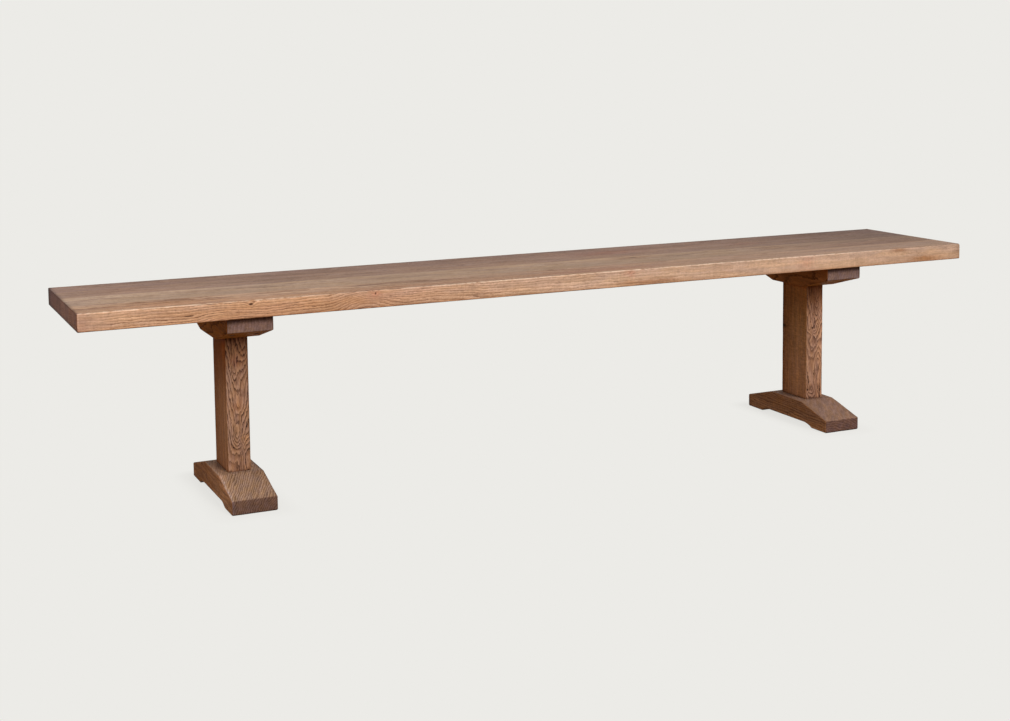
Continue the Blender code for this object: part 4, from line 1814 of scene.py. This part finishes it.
# The feet's flanks and ends are toned by painted light and shade, with the end grain's own colour on the ends
FOOT_OAKS = {
    Side.LEFT: Oak(
        name="left_foot_oak",
        grain=Grain.ALONG_Y,
        tones=replace(
            RAIL_TONES, facing=facings(flanks=(1.13, 0.70, 0.355), ends=(0.485, 0.43, 0.465))
        ),
        tint=(0.73, 0.84, 0.94),
        pith=Pith(-0.115, LEFT + 0.16, -0.05, 0.0, 0.05),
        seed=8.8,
        slant=0.33,
        ring_width=0.0046,
        ring_strength=0.90,
        wander=0.80,
        hairy=0.45,
        wear_width=0.0045,
        wear=0.50,
        unworn=(
            Spot((LEFT + HALF_RAIL, 0.0, 0.030), (0.040, ALL_OF_IT, ALL_OF_IT), 1.4),
            Spot((LEFT, -0.170, 0.020), (ALL_OF_IT, 0.026, ALL_OF_IT), 1.2),
            Spot((LEFT, 0.120, 0.040), (ALL_OF_IT, 0.100, ALL_OF_IT), 1.0),
        ),
        calm=(Spot((LEFT - 0.040, 0.0, 0.060), (0.020, 0.060, 0.010), 0.8),),
        bands=0.25,
        hues=1.0,
        rays=0.30,
        broken=0.25,
        late_light=0.9,
        faces=(0.60, 1.00, 1.0),
        stains_and_painted_light=(
            dark_side(LEFT, HALF_RAIL),
            # Painted shade along the foot's lower front edge, where it meets the floor
            StainAndPaintedLight((LEFT, -0.1700, 0.0), (ALL_OF_IT, 0.004, 0.0032), (0.64, 0.59, 0.55), 1.0, 0.002),
            StainAndPaintedLight((LEFT - HALF_RAIL, -0.105, 0.020), (0.005, 0.095, 0.060), (1.37, 1.66, 2.35), 1.0, 0.010),
            StainAndPaintedLight((LEFT - 0.040, 0.0, 0.060), (0.020, 0.050, 0.005), (0.86, 0.81, 0.80)),
            # Painted shade: a dark line along the upper right arris
            StainAndPaintedLight((LEFT + HALF_RAIL, 0.0, 0.060), (0.0045, 0.110, 0.008), (0.34, 0.33, 0.32), 1.0, 0.002),
            StainAndPaintedLight((LEFT - HALF_RAIL, 0.150, 0.035), (0.005, 0.120, 0.060), (0.76, 0.75, 0.70), 1.0, 0.010),
            StainAndPaintedLight((LEFT - HALF_RAIL, -0.066, 0.060), (0.008, 0.014, 0.010), (1.25, 1.18, 1.18), 1.0, 0.008),
            StainAndPaintedLight((LEFT + 0.030, -0.075, 0.060), (0.014, 0.016, 0.012), DARKER),
            StainAndPaintedLight((LEFT - 0.044, -0.105, 0.050), (0.013, 0.044, 0.020), (1.32, 1.26, 1.11), 1.0, 0.01),
        ),
    ),
    Side.RIGHT: Oak(
        name="right_foot_oak",
        grain=Grain.ALONG_Y,
        tones=replace(
            RAIL_TONES, facing=facings(flanks=(1.44, 1.05, 0.67), ends=(0.575, 0.505, 0.545))
        ),
        tint=(0.635, 0.73, 0.905),
        pith=Pith(-0.115, RIGHT - 0.03, -0.16, 0.0, 0.03),
        seed=9.6,
        slant=0.55,
        wear=0.30,
        ring_width=0.0060,
        ring_strength=0.40,
        mottle=0.12,
        streaks=0.70,
        bands=0.26,
        hues=1.0,
        rays=0.30,
        faces=(1.8, 1.8, 0.5),
        calm=(Spot((RIGHT, -0.115, 0.048), (0.060, 0.050, 0.016), 0.7),),
        stains_and_painted_light=(
            dark_side(RIGHT, HALF_RAIL),
            # Painted shade along the foot's lower front edge, where it meets the floor
            StainAndPaintedLight((RIGHT, -0.1700, 0.0), (ALL_OF_IT, 0.004, 0.0035), (0.58, 0.54, 0.52), 1.0, 0.002),
            StainAndPaintedLight(
                (RIGHT - HALF_RAIL, -0.080, 0.006), (0.006, 0.120, 0.012), (1.27, 1.28, 1.26), 1.0, 0.010
            ),
            StainAndPaintedLight((RIGHT - HALF_RAIL, 0.060, 0.050), (0.006, 0.100, 0.020), (0.84, 0.80, 0.76), 1.0, 0.010),
            StainAndPaintedLight((RIGHT - HALF_RAIL, 0.170, 0.020), (0.006, 0.010, 0.060), (0.52, 0.46, 0.42), 1.0, 0.002),
        ),
    ),
}
BEARER_TOP = 0.4137
# Painted shade by the way the bearers' faces look, on their flanks, ends and undersides; the ends also hold
# the end grain's own colour
BEARER_FLANKS = {Side.LEFT: (0.93, 0.53, 0.125), Side.RIGHT: (1.03, 0.63, 0.30)}
BEARER_ENDS = {Side.LEFT: (0.585, 0.67, 0.93), Side.RIGHT: (0.56, 0.68, 1.02)}
BEARER_OAKS = {
    side: Oak(
        name=f"{side.value}_bearer_oak",
        grain=Grain.ALONG_Y,
        tones=replace(
            RAIL_TONES,
            facing=facings(
                flanks=BEARER_FLANKS[side], ends=BEARER_ENDS[side], under=(1.07, 0.67, 0.22)
            ),
        ),
        pith=Pith(0.0, middle + 0.30, 0.28, 0.0, -0.40),
        seed=10.5 + middle,
        ring_width=0.0070,
        ring_strength=0.85,
        bands=0.25,
        hues=0.9,
        late_light=0.4,
        faces=(1.2, 0.45, 0.7),
        wear=0.12,
        gloss=0.008,
        stains_and_painted_light=(
            dark_side(middle, HALF_RAIL),
            # Painted shadow of the seat at the top of the bearer: a narrow dark line over a broader shade
            StainAndPaintedLight((0.0, 0.0, BEARER_TOP), (ALL_OF_IT, ALL_OF_IT, 0.0055), (0.39, 0.10, 0.0), 1.0, 0.002),
            StainAndPaintedLight((0.0, 0.0, BEARER_TOP), (ALL_OF_IT, ALL_OF_IT, 0.017), (0.79, 0.71, 0.67), 1.0, 0.004),
        ),
    )
    for side, middle in ((Side.LEFT, LEFT), (Side.RIGHT, RIGHT))
}


@dataclass
class Studio:
    """A pale floor and backdrop, a soft lamp, and the camera at the photograph's angle."""

    image_width: int = 1010
    image_height: int = 721
    focal_pixels: float = 1515.02
    axis_height: float = 200.0
    camera_place: Place = (-1.5617, -3.1839, 0.9536)
    yaw: float = 24.7817
    pitch: float = -5.6238
    roll: float = -0.5754
    sensor_width: float = 36.0
    backdrop: Colour = srgb(236, 235, 231)
    fill: float = 0.62
    bounce: Colour = (0.16, 0.15, 0.13)
    key_strength: float = 2.10
    key_azimuth: float = 15.0
    key_elevation: float = 36.0
    key_width: float = 20.0
    shadow_near: float = 0.005
    shadow_far: float = 0.060
    shadow_strength: float = 0.13
    floor_half: float = 30.0

    def build_camera(self) -> None:
        """Make the camera."""
        yaw, pitch, roll = (math.radians(angle) for angle in (self.yaw, self.pitch, self.roll))
        level_share = math.cos(pitch)
        forward = Vector((math.sin(yaw) * level_share, math.cos(yaw) * level_share, math.sin(pitch)))
        level = Vector((math.cos(yaw), -math.sin(yaw), 0))
        upright = level.cross(forward)
        right = math.cos(roll) * level + math.sin(roll) * upright
        up = math.cos(roll) * upright - math.sin(roll) * level
        data = bpy.data.cameras.new("camera")
        data.sensor_width = self.sensor_width
        data.lens = self.focal_pixels / self.image_width * self.sensor_width
        data.shift_y = (self.axis_height - self.image_height / 2) / self.image_width
        camera = bpy.data.objects.new("camera", data)
        turned = Matrix((right, up, -forward)).transposed().to_4x4()
        camera.matrix_world = Matrix.Translation(self.camera_place) @ turned
        bpy.context.scene.collection.objects.link(camera)
        bpy.context.scene.camera = camera

    def build_world(self) -> None:
        """Light everything evenly from all round, behind a pale backdrop."""
        world = bpy.data.worlds.new("studio")
        graph = Graph(world)
        colour = graph.mix(graph.seen(), (self.fill,) * 3, self.backdrop)
        shader = graph.field("ShaderNodeBackground", {}, {"Color": colour, "Strength": 1.0})
        graph.surface(shader, "ShaderNodeOutputWorld")
        bpy.context.scene.world = world

    def build_key(self) -> None:
        """Hang the main lamp, far off in front and above."""
        azimuth, elevation = math.radians(self.key_azimuth), math.radians(self.key_elevation)
        across, forward = math.sin(azimuth) * math.cos(elevation), math.cos(azimuth) * math.cos(elevation)
        towards = Vector((across, -forward, math.sin(elevation)))
        data = bpy.data.lights.new("key", "SUN")
        data.energy = self.key_strength
        data.angle = math.radians(self.key_width)
        lamp = bpy.data.objects.new("key", data)
        lamp.rotation_mode = "QUATERNION"
        lamp.rotation_quaternion = towards.to_track_quat("Z", "Y")
        bpy.context.scene.collection.objects.link(lamp)

    def floor_material(self) -> bpy.types.Material:
        """The floor's finish: it shows the backdrop's colour with soft shadows near the feet."""
        material = bpy.data.materials.new("studio_floor")
        graph = Graph(material)
        x, y, _ = graph.position().parts()
        foot = Box.of("right_foot")
        beyond_x = (abs(abs(x) - foot.middle.x) - foot.size.x / 2).most(0.0)
        beyond_y = (abs(y) - foot.high.y).most(0.0)
        away = (beyond_x * beyond_x + beyond_y * beyond_y).root()
        shadow = (1 - away.rise(self.shadow_near, self.shadow_far)) * self.shadow_strength
        level = self.fill + self.key_strength / math.pi * math.sin(math.radians(self.key_elevation))
        evened = [channel / level for channel in self.backdrop]
        glow = graph.field("ShaderNodeEmission", {}, {"Color": self.backdrop, "Strength": 1.0})
        pale = graph.field("ShaderNodeBsdfDiffuse", {}, {"Color": evened})
        shown = graph.field("ShaderNodeMixShader", {}, {0: shadow, 1: glow, 2: pale})
        dim = graph.field("ShaderNodeBsdfDiffuse", {}, {"Color": self.bounce})
        graph.surface(graph.field("ShaderNodeMixShader", {}, {0: graph.seen(), 1: dim, 2: shown}))
        return material

    def build_floor(self) -> None:
        """Lay the floor."""
        mesh = bpy.data.meshes.new("floor")
        corners = [(-1, -1), (1, -1), (1, 1), (-1, 1)]
        places = [(self.floor_half * x, self.floor_half * y, 0) for x, y in corners]
        mesh.from_pydata(places, [], [(0, 1, 2, 3)])
        mesh.materials.append(self.floor_material())
        in_scene("floor", mesh)

    def build(self) -> None:
        """Make the camera, the light and the floor, and set how colours are shown."""
        self.build_camera()
        self.build_world()
        self.build_key()
        self.build_floor()
        bpy.context.scene.view_settings.view_transform = "Standard"


def main() -> None:
    """Build the studio and the bench."""
    logging.basicConfig(level=logging.INFO, format="%(name)s: %(message)s")
    Studio().build()
    for side in Side:
        Leg(side).build()
        Screws(side).build()
    Seat().build()


if __name__ == "__main__":
    main()
